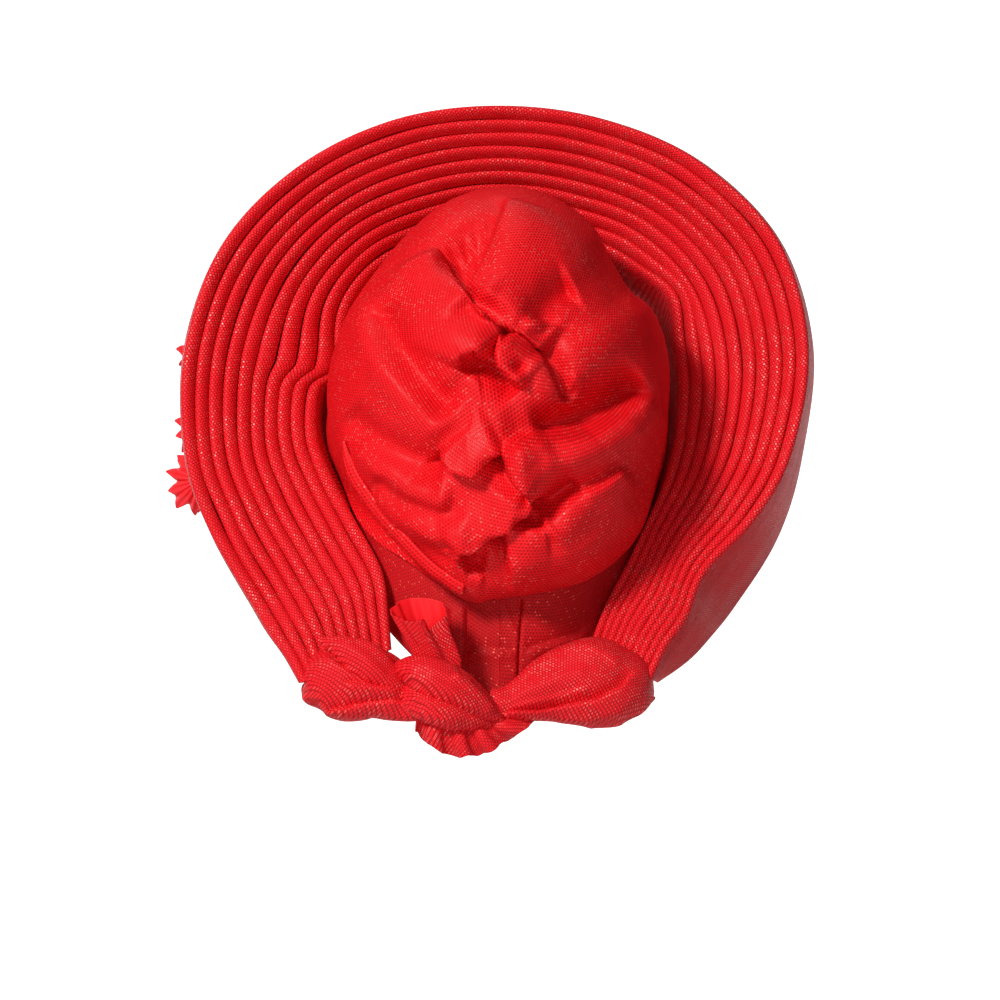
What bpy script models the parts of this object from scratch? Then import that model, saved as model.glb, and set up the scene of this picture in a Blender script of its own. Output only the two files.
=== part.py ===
import math

import bmesh
import bpy
from mathutils import Vector

# Tied gele head tie, seen from behind along +Y: +X is the wearer's right, +Y the face, +Z up.
# The origin is inside the top of the bag, where the crown of the head bears.

# Driving sizes, in metres
head_half_width = 0.075
head_length = 0.190
crown_to_tie = 0.240
pleat_reach = 0.066
bag_half_width = 0.084
bag_half_height = 0.099
bag_depth = 0.091
pleat_count = 10
pleat_wall = 0.0010
bag_wall = 0.0012
band_wall = 0.0015
band_height_front = 0.030
band_height_nape = 0.052
binding_width = 0.007
binding_wall = 0.0018
wing_wall = 0.0014
knot_wall = 0.0020
knot_radius = 0.0165
knot_length = 0.046
tail_wall = 0.0012
upper_tail_length = 0.034
lower_tail_length = 0.024
petal_wall = 0.0010
flower_radius = 0.020
clearance = 0.0004
seat_clearance = 0.0012
rim_clearance = 0.0030
bag_back = 0.616 * head_length
knot_centre = Vector((-0.096 * crown_to_tie, -0.455 * head_length, -1.008 * crown_to_tie))
knot_slope = math.radians(-10.0)

# Head band, front to nape on the +X side: azimuth in degrees, across in half head widths,
# deep in head lengths, top in crown_to_tie
band_rows = (
    {"azimuth": 90, "across": 0.00, "deep": 0.505, "top": -0.183},
    {"azimuth": 70, "across": 0.40, "deep": 0.484, "top": -0.192},
    {"azimuth": 50, "across": 0.72, "deep": 0.411, "top": -0.225},
    {"azimuth": 30, "across": 0.93, "deep": 0.284, "top": -0.300},
    {"azimuth": 10, "across": 1.03, "deep": 0.126, "top": -0.408},
    {"azimuth": -10, "across": 1.01, "deep": -0.021, "top": -0.512},
    {"azimuth": -30, "across": 0.89, "deep": -0.147, "top": -0.596},
    {"azimuth": -50, "across": 0.69, "deep": -0.242, "top": -0.683},
    {"azimuth": -70, "across": 0.37, "deep": -0.316, "top": -0.762},
    {"azimuth": -90, "across": 0.00, "deep": -0.347, "top": -0.792},
)

# Fan sections from the left end over the crown to the right end.
# inner_x in half head widths, inner_z in crown_to_tie, inner_y and outer_y in head lengths,
# out_x, out_z and flare in pleat_reach, front_y in head lengths, seat as the band's azimuth,
# on_top 1 where the front edge rests on the band's upper edge and 0 where it lies on the band's side
fan_rows = (
    {"inner_x": -0.690, "inner_z": -0.926, "inner_y": -0.332, "out_x": -0.66, "out_z": -0.24, "outer_y": -0.405,
     "flare": 0.01, "front_y": -0.290, "seat": 227, "on_top": 0},
    {"inner_x": -0.716, "inner_z": -0.853, "inner_y": -0.300, "out_x": -0.74, "out_z": -0.32, "outer_y": -0.365,
     "flare": 0.02, "front_y": -0.220, "seat": 218, "on_top": 0},
    {"inner_x": -0.760, "inner_z": -0.769, "inner_y": -0.253, "out_x": -0.82, "out_z": -0.45, "outer_y": -0.316,
     "flare": 0.03, "front_y": -0.126, "seat": 206, "on_top": 0},
    {"inner_x": -0.940, "inner_z": -0.667, "inner_y": -0.168, "out_x": -0.73, "out_z": -0.64, "outer_y": -0.263,
     "flare": 0.04, "front_y": -0.021, "seat": 193, "on_top": 0},
    {"inner_x": -1.080, "inner_z": -0.583, "inner_y": -0.084, "out_x": -0.88, "out_z": -0.42, "outer_y": -0.211,
     "flare": 0.04, "front_y": 0.074, "seat": 181, "on_top": 0},
    {"inner_x": -1.190, "inner_z": -0.489, "inner_y": 0.000, "out_x": -0.96, "out_z": -0.18, "outer_y": -0.168,
     "flare": 0.05, "front_y": 0.147, "seat": 169, "on_top": 0},
    {"inner_x": -1.150, "inner_z": -0.364, "inner_y": 0.074, "out_x": -1.01, "out_z": 0.18, "outer_y": -0.116,
     "flare": 0.06, "front_y": 0.200, "seat": 156, "on_top": 0},
    {"inner_x": -1.007, "inner_z": -0.241, "inner_y": 0.147, "out_x": -0.89, "out_z": 0.50, "outer_y": -0.074,
     "flare": 0.06, "front_y": 0.242, "seat": 143, "on_top": 1},
    {"inner_x": -0.747, "inner_z": -0.143, "inner_y": 0.211, "out_x": -0.62, "out_z": 0.72, "outer_y": -0.032,
     "flare": 0.06, "front_y": 0.284, "seat": 127, "on_top": 1},
    {"inner_x": -0.379, "inner_z": -0.096, "inner_y": 0.263, "out_x": -0.33, "out_z": 0.89, "outer_y": 0.000,
     "flare": 0.06, "front_y": 0.316, "seat": 110, "on_top": 1},
    {"inner_x": 0.000, "inner_z": -0.077, "inner_y": 0.274, "out_x": 0.00, "out_z": 0.92, "outer_y": 0.010,
     "flare": 0.06, "front_y": 0.326, "seat": 90, "on_top": 1},
    {"inner_x": 0.379, "inner_z": -0.096, "inner_y": 0.263, "out_x": 0.33, "out_z": 0.89, "outer_y": 0.000,
     "flare": 0.06, "front_y": 0.316, "seat": 70, "on_top": 1},
    {"inner_x": 0.763, "inner_z": -0.137, "inner_y": 0.211, "out_x": 0.61, "out_z": 0.72, "outer_y": -0.032,
     "flare": 0.07, "front_y": 0.284, "seat": 53, "on_top": 1},
    {"inner_x": 1.052, "inner_z": -0.233, "inner_y": 0.147, "out_x": 0.86, "out_z": 0.48, "outer_y": -0.074,
     "flare": 0.07, "front_y": 0.242, "seat": 37, "on_top": 1},
    {"inner_x": 1.150, "inner_z": -0.363, "inner_y": 0.074, "out_x": 0.97, "out_z": 0.17, "outer_y": -0.116,
     "flare": 0.08, "front_y": 0.200, "seat": 24, "on_top": 0},
    {"inner_x": 1.140, "inner_z": -0.486, "inner_y": 0.000, "out_x": 0.85, "out_z": -0.17, "outer_y": -0.168,
     "flare": 0.12, "front_y": 0.147, "seat": 11, "on_top": 0},
    {"inner_x": 1.080, "inner_z": -0.575, "inner_y": -0.084, "out_x": 0.64, "out_z": -0.34, "outer_y": -0.221,
     "flare": 0.24, "front_y": 0.074, "seat": -1, "on_top": 0},
    {"inner_x": 0.950, "inner_z": -0.672, "inner_y": -0.168, "out_x": 0.42, "out_z": -0.38, "outer_y": -0.284,
     "flare": 0.34, "front_y": -0.021, "seat": -13, "on_top": 0},
    {"inner_x": 0.800, "inner_z": -0.767, "inner_y": -0.253, "out_x": 0.36, "out_z": -0.33, "outer_y": -0.340,
     "flare": 0.31, "front_y": -0.137, "seat": -24, "on_top": 0},
    {"inner_x": 0.670, "inner_z": -0.845, "inner_y": -0.300, "out_x": 0.40, "out_z": -0.30, "outer_y": -0.385,
     "flare": 0.19, "front_y": -0.215, "seat": -34, "on_top": 0},
    {"inner_x": 0.590, "inner_z": -0.910, "inner_y": -0.330, "out_x": 0.44, "out_z": -0.29, "outer_y": -0.415,
     "flare": 0.07, "front_y": -0.280, "seat": -42, "on_top": 0},
)

# Stations of the fan in rows of its table, closer where it turns in to the tie
fan_places = (0.0, 0.7, 1.4, 2.1, 2.8, 3.5, 4.2, 5.0, 5.8, 6.6, 7.4, 8.2, 9.1, 10.0, 10.9, 11.8, 12.6, 13.4,
              14.2, 15.0, 15.7, 16.4, 17.1, 17.8, 18.5, 19.2, 20.0)

# A back fold's points: across in loop widths, back from the fold's corners in loop widths
back_fold_points = ((0.5, 0.0), (0.0, 0.42), (-0.5, 0.0))

# Places in the fan's table that lie over the bag's rim, by the clock angle in degrees
rim_stations = (
    {"angle": -150, "place": 2.0},
    {"angle": -130, "place": 3.0},
    {"angle": -115, "place": 4.0},
    {"angle": -100, "place": 5.0},
    {"angle": -80, "place": 6.0},
    {"angle": -60, "place": 7.0},
    {"angle": -40, "place": 8.0},
    {"angle": -20, "place": 9.0},
    {"angle": 0, "place": 10.0},
    {"angle": 20, "place": 11.0},
    {"angle": 40, "place": 12.0},
    {"angle": 60, "place": 13.0},
    {"angle": 80, "place": 14.0},
    {"angle": 100, "place": 15.0},
    {"angle": 115, "place": 16.0},
    {"angle": 130, "place": 17.0},
    {"angle": 150, "place": 18.0},
)

# Bag outline seen from behind, by the clock angle in degrees from the top towards +X, in a plane where
# bag_half_width and bag_half_height are both 1; edge_y is the depth of that outline in head lengths
bag_rows = (
    {"angle": -180, "reach": 0.985, "edge_y": -0.400},
    {"angle": -160, "reach": 0.985, "edge_y": -0.350},
    {"angle": -142, "reach": 0.934, "edge_y": -0.275},
    {"angle": -127, "reach": 0.940, "edge_y": -0.210},
    {"angle": -109, "reach": 0.975, "edge_y": -0.165},
    {"angle": -92, "reach": 0.995, "edge_y": -0.142},
    {"angle": -77, "reach": 0.975, "edge_y": -0.132},
    {"angle": -50, "reach": 0.930, "edge_y": -0.105},
    {"angle": -34, "reach": 0.947, "edge_y": -0.086},
    {"angle": -17, "reach": 0.990, "edge_y": -0.072},
    {"angle": 4, "reach": 1.020, "edge_y": -0.063},
    {"angle": 20, "reach": 1.006, "edge_y": -0.074},
    {"angle": 36, "reach": 0.985, "edge_y": -0.088},
    {"angle": 61, "reach": 0.985, "edge_y": -0.120},
    {"angle": 78, "reach": 0.985, "edge_y": -0.135},
    {"angle": 97, "reach": 0.970, "edge_y": -0.150},
    {"angle": 115, "reach": 0.990, "edge_y": -0.180},
    {"angle": 131, "reach": 1.050, "edge_y": -0.230},
    {"angle": 149, "reach": 1.038, "edge_y": -0.305},
    {"angle": 165, "reach": 0.995, "edge_y": -0.365},
    {"angle": 180, "reach": 0.985, "edge_y": -0.400},
)

# Main folds of the bag: three points each, across in bag_half_width from the middle and up in
# bag_half_height from the bag's centre; rise and breadth in bag_depth, step 1 drops off on the left of the line
bag_folds = (
    {"x": (-0.37, -0.20, 0.03), "z": (0.72, 0.45, 0.26), "rise": 0.085, "breadth": 0.13, "step": -1.0},
    {"x": (-0.42, -0.24, -0.06), "z": (0.50, 0.30, 0.14), "rise": -0.095, "breadth": 0.12, "step": 0.0},
    {"x": (0.08, -0.05, -0.16), "z": (0.93, 0.70, 0.46), "rise": 0.090, "breadth": 0.14, "step": 1.0},
    {"x": (-0.08, 0.05, 0.18), "z": (0.42, 0.36, 0.22), "rise": -0.125, "breadth": 0.10, "step": 0.0},
    {"x": (0.02, 0.15, 0.17), "z": (0.28, 0.16, -0.10), "rise": 0.085, "breadth": 0.10, "step": 0.0},
    {"x": (-0.45, -0.30, -0.10), "z": (-0.05, -0.22, -0.26), "rise": 0.090, "breadth": 0.13, "step": 0.0},
    {"x": (-0.25, -0.12, 0.02), "z": (0.12, 0.16, 0.06), "rise": -0.105, "breadth": 0.11, "step": 0.0},
    {"x": (-0.22, -0.08, 0.05), "z": (-0.34, -0.37, -0.40), "rise": -0.120, "breadth": 0.10, "step": 0.0},
    {"x": (-0.80, -0.35, 0.10), "z": (-0.28, -0.48, -0.56), "rise": 0.085, "breadth": 0.15, "step": 0.0},
    {"x": (-0.70, -0.40, -0.10), "z": (-0.52, -0.66, -0.68), "rise": -0.075, "breadth": 0.13, "step": 0.0},
    {"x": (0.02, 0.35, 0.85), "z": (-0.32, -0.30, -0.06), "rise": 0.105, "breadth": 0.13, "step": 0.0},
    {"x": (0.18, 0.45, 0.78), "z": (-0.12, -0.06, 0.14), "rise": -0.125, "breadth": 0.13, "step": 0.0},
    {"x": (0.16, 0.40, 0.62), "z": (-0.78, -0.66, -0.44), "rise": 0.085, "breadth": 0.12, "step": 0.0},
    {"x": (0.12, 0.30, 0.50), "z": (-0.58, -0.50, -0.32), "rise": -0.095, "breadth": 0.11, "step": 0.0},
    {"x": (-0.24, -0.10, 0.00), "z": (-0.78, -0.84, -0.78), "rise": -0.080, "breadth": 0.11, "step": 0.0},
    {"x": (0.34, 0.42, 0.36), "z": (0.56, 0.32, 0.04), "rise": -0.085, "breadth": 0.13, "step": 0.0},
    {"x": (0.06, 0.06, 0.06), "z": (-0.66, -0.80, -0.95), "rise": 0.065, "breadth": 0.10, "step": 0.0},
)

# Wings, from the outer end to the knot: across in crown_to_tie, top, mid and bottom heights below the
# crown in crown_to_tie, near and far depths in head lengths
left_wing_rows = (
    {"across": -0.392, "top": -0.990, "bottom": -1.005, "near": -0.440, "far": -0.415},
    {"across": -0.382, "top": -0.962, "bottom": -1.036, "near": -0.453, "far": -0.393},
    {"across": -0.350, "top": -0.936, "bottom": -1.060, "near": -0.457, "far": -0.302},
    {"across": -0.305, "top": -0.916, "bottom": -1.066, "near": -0.466, "far": -0.271},
    {"across": -0.260, "top": -0.912, "bottom": -1.066, "near": -0.467, "far": -0.272},
    {"across": -0.225, "top": -0.935, "bottom": -1.045, "near": -0.470, "far": -0.340},
    {"across": -0.203, "top": -0.955, "bottom": -1.014, "near": -0.475, "far": -0.424},
    {"across": -0.174, "top": -0.959, "bottom": -1.009, "near": -0.475, "far": -0.432},
)
right_wing_rows = (
    {"across": 0.300, "top": -1.000, "bottom": -1.020, "near": -0.446, "far": -0.426},
    {"across": 0.292, "top": -0.968, "bottom": -1.050, "near": -0.458, "far": -0.398},
    {"across": 0.262, "top": -0.930, "bottom": -1.072, "near": -0.453, "far": -0.303},
    {"across": 0.215, "top": -0.908, "bottom": -1.078, "near": -0.468, "far": -0.268},
    {"across": 0.165, "top": -0.903, "bottom": -1.076, "near": -0.475, "far": -0.274},
    {"across": 0.110, "top": -0.932, "bottom": -1.070, "near": -0.478, "far": -0.308},
    {"across": 0.060, "top": -0.968, "bottom": -1.058, "near": -0.478, "far": -0.370},
    {"across": 0.018, "top": -0.9825, "bottom": -1.052, "near": -0.485, "far": -0.422},
    {"across": -0.008, "top": -0.9895, "bottom": -1.048, "near": -0.480, "far": -0.428},
)


def span(rows, key, place):
    """Smooth value of a table's column at a place counted in rows."""
    last = len(rows) - 1
    index = min(int(place), last - 1)
    share = place - index
    values = [rows[min(max(index + step, 0), last)][key] for step in (-1, 0, 1, 2)]
    before, start, end, after = values
    slope_start = 0.5 * (end - before)
    slope_end = 0.5 * (after - start)
    square = share * share
    cube = square * share
    return ((2 * cube - 3 * square + 1) * start + (cube - 2 * square + share) * slope_start
            + (3 * square - 2 * cube) * end + (cube - square) * slope_end)


def row_place(rows, key, value):
    """Place in a table, in rows, where a steadily changing column reaches a value."""
    for index in range(len(rows) - 1):
        low = rows[index][key]
        high = rows[index + 1][key]
        if min(low, high) <= value <= max(low, high):
            return index + (value - low) / (high - low)
    return 0.0 if abs(value - rows[0][key]) < abs(value - rows[-1][key]) else len(rows) - 1.0


def mix(low, high, share):
    return low + (high - low) * share


def new_sheet(name, columns, rows, place, wall, colour, roughness, ring=False, folded=False):
    """A cloth sheet: a grid moved to place(u, v), then given its wall; the layers of a folded one lie close."""
    mesh = bpy.data.meshes.new(name)
    work = bmesh.new()
    bmesh.ops.create_grid(work, x_segments=columns, y_segments=rows, size=0.5)
    for vert in work.verts:
        vert.co = place(vert.co.x + 0.5, vert.co.y + 0.5)
    if ring:
        bmesh.ops.remove_doubles(work, verts=work.verts, dist=1e-6)
    if folded:
        bmesh.ops.triangulate(work, faces=work.faces, quad_method="SHORT_EDGE")
    work.to_mesh(mesh)
    work.free()
    sheet = bpy.data.objects.new(name, mesh)
    part.objects.link(sheet)
    mesh.shade_smooth()
    mesh.materials.append(cloth(name, colour, roughness))
    solid = sheet.modifiers.new("wall", "SOLIDIFY")
    solid.thickness = wall
    solid.offset = 0.0
    solid.use_even_offset = not folded
    return sheet


def cloth(name, colour, roughness):
    material = bpy.data.materials.new(name + "_cloth")
    material.use_nodes = True
    shader = material.node_tree.nodes["Principled BSDF"]
    shader.inputs["Base Color"].default_value = (*colour, 1.0)
    shader.inputs["Roughness"].default_value = roughness
    shader.inputs["Metallic"].default_value = 0.0
    return material


def band_middle(azimuth, height):
    """Middle of the head band's wall; height runs from 0 at the lower edge to 1 at the top."""
    turned = (azimuth + 90.0) % 360.0 - 90.0
    mirrored = turned > 90.0
    if mirrored:
        turned = 180.0 - turned
    place = row_place(band_rows, "azimuth", turned)
    across = span(band_rows, "across", place) * head_half_width
    deep = span(band_rows, "deep", place) * head_length
    top = span(band_rows, "top", place) * crown_to_tie
    tall = mix(band_height_nape, band_height_front, (turned + 90.0) / 180.0)
    return Vector((-across if mirrored else across, deep, top - tall * (1.0 - height)))


def band_outward(azimuth):
    ahead = band_middle(azimuth + 2.0, 1.0)
    behind = band_middle(azimuth - 2.0, 1.0)
    along = ahead - behind
    return Vector((along.y, -along.x, 0.0)).normalized()


def fan_edges(place):
    """Corners of the fan's section: inner and outer, at the back folds and at the front folds."""
    inner = Vector((span(fan_rows, "inner_x", place) * head_half_width,
                    span(fan_rows, "inner_y", place) * head_length,
                    span(fan_rows, "inner_z", place) * crown_to_tie))
    out = Vector((span(fan_rows, "out_x", place), 0.0, span(fan_rows, "out_z", place))) * pleat_reach
    outer = inner + out
    outer.y = span(fan_rows, "outer_y", place) * head_length
    seat = span(fan_rows, "seat", place)
    stand_off = 0.5 * (pleat_wall + band_wall) + seat_clearance
    front_outer = outer + out.normalized() * span(fan_rows, "flare", place) * pleat_reach
    front_outer.y = span(fan_rows, "front_y", place) * head_length
    front_inner = band_middle(seat, 1.0) + band_outward(seat) * stand_off
    front_inner.z += 0.5 * pleat_wall + seat_clearance
    front_inner.z = mix(inner.z, front_inner.z, span(fan_rows, "on_top", place))
    return inner, outer, front_inner, front_outer


def loop_width(pitch):
    """Width of one rolled fold, which leaves the cloths of two neighbouring folds clear of each other."""
    return pitch - max(0.32 * pitch, min(0.5 * pitch, 1.9 * pleat_wall))


def fan_section(place):
    """One cloth folded back and forth: its points from the outer free edge to the inner one."""
    inner, outer, front_inner, front_outer = fan_edges(place)
    back_pitch = (outer - inner) / pleat_count
    front_pitch = (front_outer - front_inner) / pleat_count
    back_loop = loop_width(back_pitch.length)
    front_loop = loop_width(front_pitch.length)
    to_front = ((front_inner + front_outer) - (inner + outer)).normalized()
    points = []
    for pleat in range(pleat_count):
        middle = outer - back_pitch * (pleat + 0.5)
        for side, reach in back_fold_points:
            points.append(middle + back_pitch.normalized() * side * back_loop - to_front * reach * back_loop)
        if pleat < pleat_count - 1:
            middle = front_outer - front_pitch * (pleat + 1.0)
            for side in (0.5, -0.5):
                points.append(middle + front_pitch.normalized() * side * front_loop)
    first = front_outer - front_pitch.normalized() * 0.5 * pleat_wall
    return [first] + points + [front_inner]


def make_fan():
    sections = [fan_section(place) for place in fan_places]
    stations = len(sections) - 1
    last = len(sections[0]) - 1

    def place(u, v):
        return sections[round(u * stations)][round(v * last)]

    return new_sheet("pleated_fan", stations, last, place, pleat_wall, (0.72, 0.012, 0.022), 0.5, folded=True)


def fold_height(x, z):
    """How far the ruched bag stands off its plain dome, for x and z in shares of its half sizes."""
    height = 0.0
    for fold in bag_folds:
        best = 9.0
        steps = 12
        for step in range(steps + 1):
            t = step / steps
            weights = ((1 - t) ** 2, 2 * t * (1 - t), t * t)
            fx = sum(w * value for w, value in zip(weights, fold["x"]))
            fz = sum(w * value for w, value in zip(weights, fold["z"]))
            away = math.hypot(x - fx, z - fz)
            if away < best:
                best = away
                tx = 2 * (1 - t) * (fold["x"][1] - fold["x"][0]) + 2 * t * (fold["x"][2] - fold["x"][1])
                tz = 2 * (1 - t) * (fold["z"][1] - fold["z"][0]) + 2 * t * (fold["z"][2] - fold["z"][1])
                side = (x - fx) * tz - (z - fz) * tx
        shape = math.exp(-(best / fold["breadth"]) ** 2)
        lean = 1.0 if side * fold["step"] >= 0.0 else math.exp(-(2.0 * best / fold["breadth"]) ** 2)
        height += fold["rise"] * bag_depth * shape * lean
    return height


def bag_rim(angle):
    """Where the bag's edge lies: inside the fan's innermost layer above, over the head band below."""
    upper = min(abs(angle), 150.0)
    place = row_place(rim_stations, "angle", math.copysign(upper, angle))
    inner, outer, front_inner, front_outer = fan_edges(span(rim_stations, "place", place))
    stand_off = 0.5 * (pleat_wall + bag_wall) + rim_clearance
    under = inner.lerp(front_inner, 0.28)
    under -= (outer - inner).normalized() * stand_off
    over_stand_off = 0.5 * (band_wall + bag_wall) + seat_clearance
    over = band_middle(90.0 - angle, 0.86) + band_outward(90.0 - angle) * over_stand_off
    share = min(max((abs(angle) - 102.0) / 28.0, 0.0), 1.0)
    share = share * share * (3.0 - 2.0 * share)
    return under.lerp(over, share)


def bag_point(across, up):
    """Point of the bag's wall; across and up run from -1 to 1 over a square that is drawn into a disc."""
    disc_x = across * math.sqrt(1.0 - 0.5 * up * up)
    disc_z = up * math.sqrt(1.0 - 0.5 * across * across)
    radius = min(math.hypot(disc_x, disc_z), 1.0)
    angle = math.degrees(math.atan2(disc_x, disc_z)) if radius > 1e-9 else 0.0
    place = row_place(bag_rows, "angle", angle)
    reach = span(bag_rows, "reach", place)
    edge_y = span(bag_rows, "edge_y", place) * head_length
    sine = math.sin(math.radians(angle))
    cosine = math.cos(math.radians(angle))
    outline = 0.76
    dome = min(radius / outline, 1.0)
    turn = mix(dome * math.pi / 2.0, math.asin(dome), 0.6)
    out = reach * math.sin(turn)
    share_x = out * sine
    share_z = out * cosine
    back_y = edge_y - (edge_y + bag_back) * math.cos(turn)
    point = Vector((share_x * bag_half_width, back_y, share_z * bag_half_height - bag_half_height))
    outward = (point - Vector((0.0, edge_y, -bag_half_height))).normalized()
    point += outward * fold_height(share_x, share_z) * min(1.0, 3.0 * (1.0 - dome) + 0.15)
    if radius > outline:
        tuck = (radius - outline) / (1.0 - outline)
        rim = bag_rim(angle)
        edge = point.copy()
        point = Vector((mix(edge.x, rim.x, tuck ** 1.3), mix(edge.y, rim.y, tuck), mix(edge.z, rim.z, tuck ** 1.3)))
    return point


def make_bag():
    cells = 26

    def place(u, v):
        return bag_point(2.0 * u - 1.0, 2.0 * v - 1.0)

    return new_sheet("back_bag", cells, cells, place, bag_wall, (0.66, 0.010, 0.020), 0.45)


def make_band():
    return new_sheet("head_band", 32, 1, lambda u, v: band_middle(-90.0 + 360.0 * u, v), band_wall,
                     (0.45, 0.008, 0.015), 0.5, ring=True)


def wing_point(rows, u, v, folds):
    """A wing's trough: v runs from the rolled top edge, down the near side, round below and up the far side."""
    place = u * (len(rows) - 1)
    across = span(rows, "across", place) * crown_to_tie
    top = span(rows, "top", place) * crown_to_tie
    bottom = span(rows, "bottom", place) * crown_to_tie
    near = span(rows, "near", place) * head_length
    far = span(rows, "far", place) * head_length
    turn = math.radians(mix(92.0, -128.0, v))
    middle_y = 0.5 * (near + far)
    middle_z = 0.5 * (top + bottom)
    crease = 1.0 + folds * 0.05 * math.cos(6.0 * turn) * math.sin(math.pi * min(u * 1.2, 1.0))
    y = middle_y - (middle_y - near) * math.cos(turn) * crease
    z = middle_z + 0.5 * (top - bottom) * math.copysign(abs(math.sin(turn)) ** 0.9, turn)
    return Vector((across, y, z))


def make_wings():
    new_sheet("left_wing", 12, 8, lambda u, v: wing_point(left_wing_rows, u, v, 1.0), wing_wall,
              (0.74, 0.012, 0.022), 0.5)
    new_sheet("right_wing", 12, 8, lambda u, v: wing_point(right_wing_rows, u, v, 0.4), wing_wall,
              (0.74, 0.012, 0.022), 0.5)


def knot_point(u, v):
    """The knot's wrap: a short sleeve whose ends draw in, turned down towards +X."""
    along = v - 0.5
    turn = 2.0 * math.pi * u
    swell = 1.0 - 0.36 * abs(2.0 * along) ** 2.6
    lump = 1.0 + 0.07 * math.cos(3.0 * turn + 4.0 * along)
    radius = knot_radius * swell * lump
    local = Vector((along * knot_length, -math.cos(turn) * radius * 0.92, math.sin(turn) * radius))
    turned = Vector((local.x * math.cos(knot_slope) - local.z * math.sin(knot_slope), local.y,
                     local.x * math.sin(knot_slope) + local.z * math.cos(knot_slope)))
    return knot_centre + turned


def make_knot():
    new_sheet("knot", 14, 6, knot_point, knot_wall, (0.74, 0.012, 0.022), 0.5, ring=True)


def upper_tail_point(u, v):
    """A cone of cloth that opens upwards, its seam side left open."""
    turn = math.radians(mix(-165.0, 165.0, u))
    wide = mix(0.0052, 0.0140, v ** 0.8)
    ruffle = 1.0 + 0.16 * v * math.cos(3.0 * turn + 1.0)
    foot = knot_centre + Vector((-0.0035, 0.0, knot_radius + knot_wall + clearance + 0.001))
    axis = Vector((-0.36, -0.24, 0.90)).normalized()
    side = Vector((0.93, 0.0, 0.36)).normalized()
    away = axis.cross(side)
    rise = v * upper_tail_length * (1.0 - 0.16 * math.cos(turn - 0.4) * v)
    return foot + axis * rise + side * math.sin(turn) * wide * ruffle + away * math.cos(turn) * wide * ruffle


def lower_tail_point(u, v):
    """A short gathered end, folded on itself, spreading below the knot."""
    spread = mix(-0.5, 0.5, u)
    wide = mix(0.022, 0.050, v)
    foot = knot_centre + Vector((0.006, 0.0, -1.07 * knot_radius - 0.5 * knot_wall + clearance))
    foot.z += math.tan(knot_slope) * (1.0 - v) * (0.006 + spread * wide)
    gather = mix(0.0022, 0.0042, v) * math.cos(u * 5.0 * math.pi)
    ragged = 1.0 - 0.75 * max(spread, 0.0) - 0.45 * max(-spread, 0.0) + 0.06 * math.cos(u * 16.0)
    return foot + Vector((spread * wide, gather, -v * (lower_tail_length * ragged - 0.004)))


def make_tails():
    new_sheet("upper_tail", 12, 4, upper_tail_point, tail_wall, (0.80, 0.020, 0.030), 0.35)
    new_sheet("lower_tail", 16, 3, lower_tail_point, tail_wall, (0.72, 0.012, 0.022), 0.5)


def binding_point(u, v):
    """Strip along the bag's lower left outline: its inner edge lies on the bag, its outer edge stands off it."""
    angle = math.radians(mix(-103.0, -156.0, u))
    radial = 0.575
    point = bag_disc_point(radial * math.sin(angle), radial * math.cos(angle))
    spoke = Vector((math.sin(angle), 0.0, math.cos(angle)))
    foot = point + spoke * (0.5 * (bag_wall + binding_wall) + 7.0 * clearance)
    return foot + spoke * 0.80 * binding_width * v + Vector((0.0, 0.55 * binding_width * v, 0.0))


def bag_disc_point(disc_x, disc_z):
    """Point of the bag from a place on its disc: the inverse of the square's drawing."""
    plus = disc_x * disc_x - disc_z * disc_z
    root = 2.0 * math.sqrt(2.0)
    across = 0.5 * (math.sqrt(max(2.0 + plus + root * disc_x, 0.0)) - math.sqrt(max(2.0 + plus - root * disc_x, 0.0)))
    up = 0.5 * (math.sqrt(max(2.0 - plus + root * disc_z, 0.0)) - math.sqrt(max(2.0 - plus - root * disc_z, 0.0)))
    return bag_point(across, up)


def make_binding():
    new_sheet("bag_binding", 18, 2, binding_point, binding_wall, (0.78, 0.020, 0.030), 0.4)


def make_flower(name, place, turn, size, lift):
    """Five ruffled petals drawn from one round of cloth, seated on the fan's front folds."""
    inner, outer, front_inner, front_outer = fan_edges(place)
    ahead = (front_outer - outer).normalized()
    out = (front_outer - front_inner).normalized()
    along = ahead.cross(out).normalized()
    seat = front_outer.lerp(front_inner, 0.13) + ahead * (0.5 * pleat_wall + petal_wall + lift)
    petals = 5

    def petal(u, v):
        angle = 2.0 * math.pi * u + turn
        reach = mix(0.12, 1.0, v)
        tip = 0.5 + 0.5 * math.cos(petals * (angle - turn))
        radius = flower_radius * size * reach * (1.0 - 0.28 * v * (1.0 - tip))
        cup = flower_radius * size * (0.55 * v * v + 0.10 * v * math.cos(2.0 * petals * (angle - turn)))
        return seat + out * math.cos(angle) * radius + along * math.sin(angle) * radius + ahead * cup

    return new_sheet(name, 20, 3, petal, petal_wall, (0.85, 0.025, 0.045), 0.4, ring=True)


for old in list(bpy.data.objects):
    bpy.data.objects.remove(old, do_unlink=True)
part = bpy.data.collections.new("gele_head_tie")
bpy.context.scene.collection.children.link(part)

make_fan()
make_bag()
make_band()
make_binding()
make_wings()
make_knot()
make_tails()
make_flower("flower_upper", 5.87, 0.2, 0.72, 0.5 * clearance)
make_flower("flower_middle", 5.31, 0.9, 0.76, 0.6 * clearance)
make_flower("flower_lower", 4.65, 0.5, 0.86, 3.6 * clearance)
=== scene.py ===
import math

import bmesh
import bpy
import numpy
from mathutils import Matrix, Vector, noise


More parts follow.
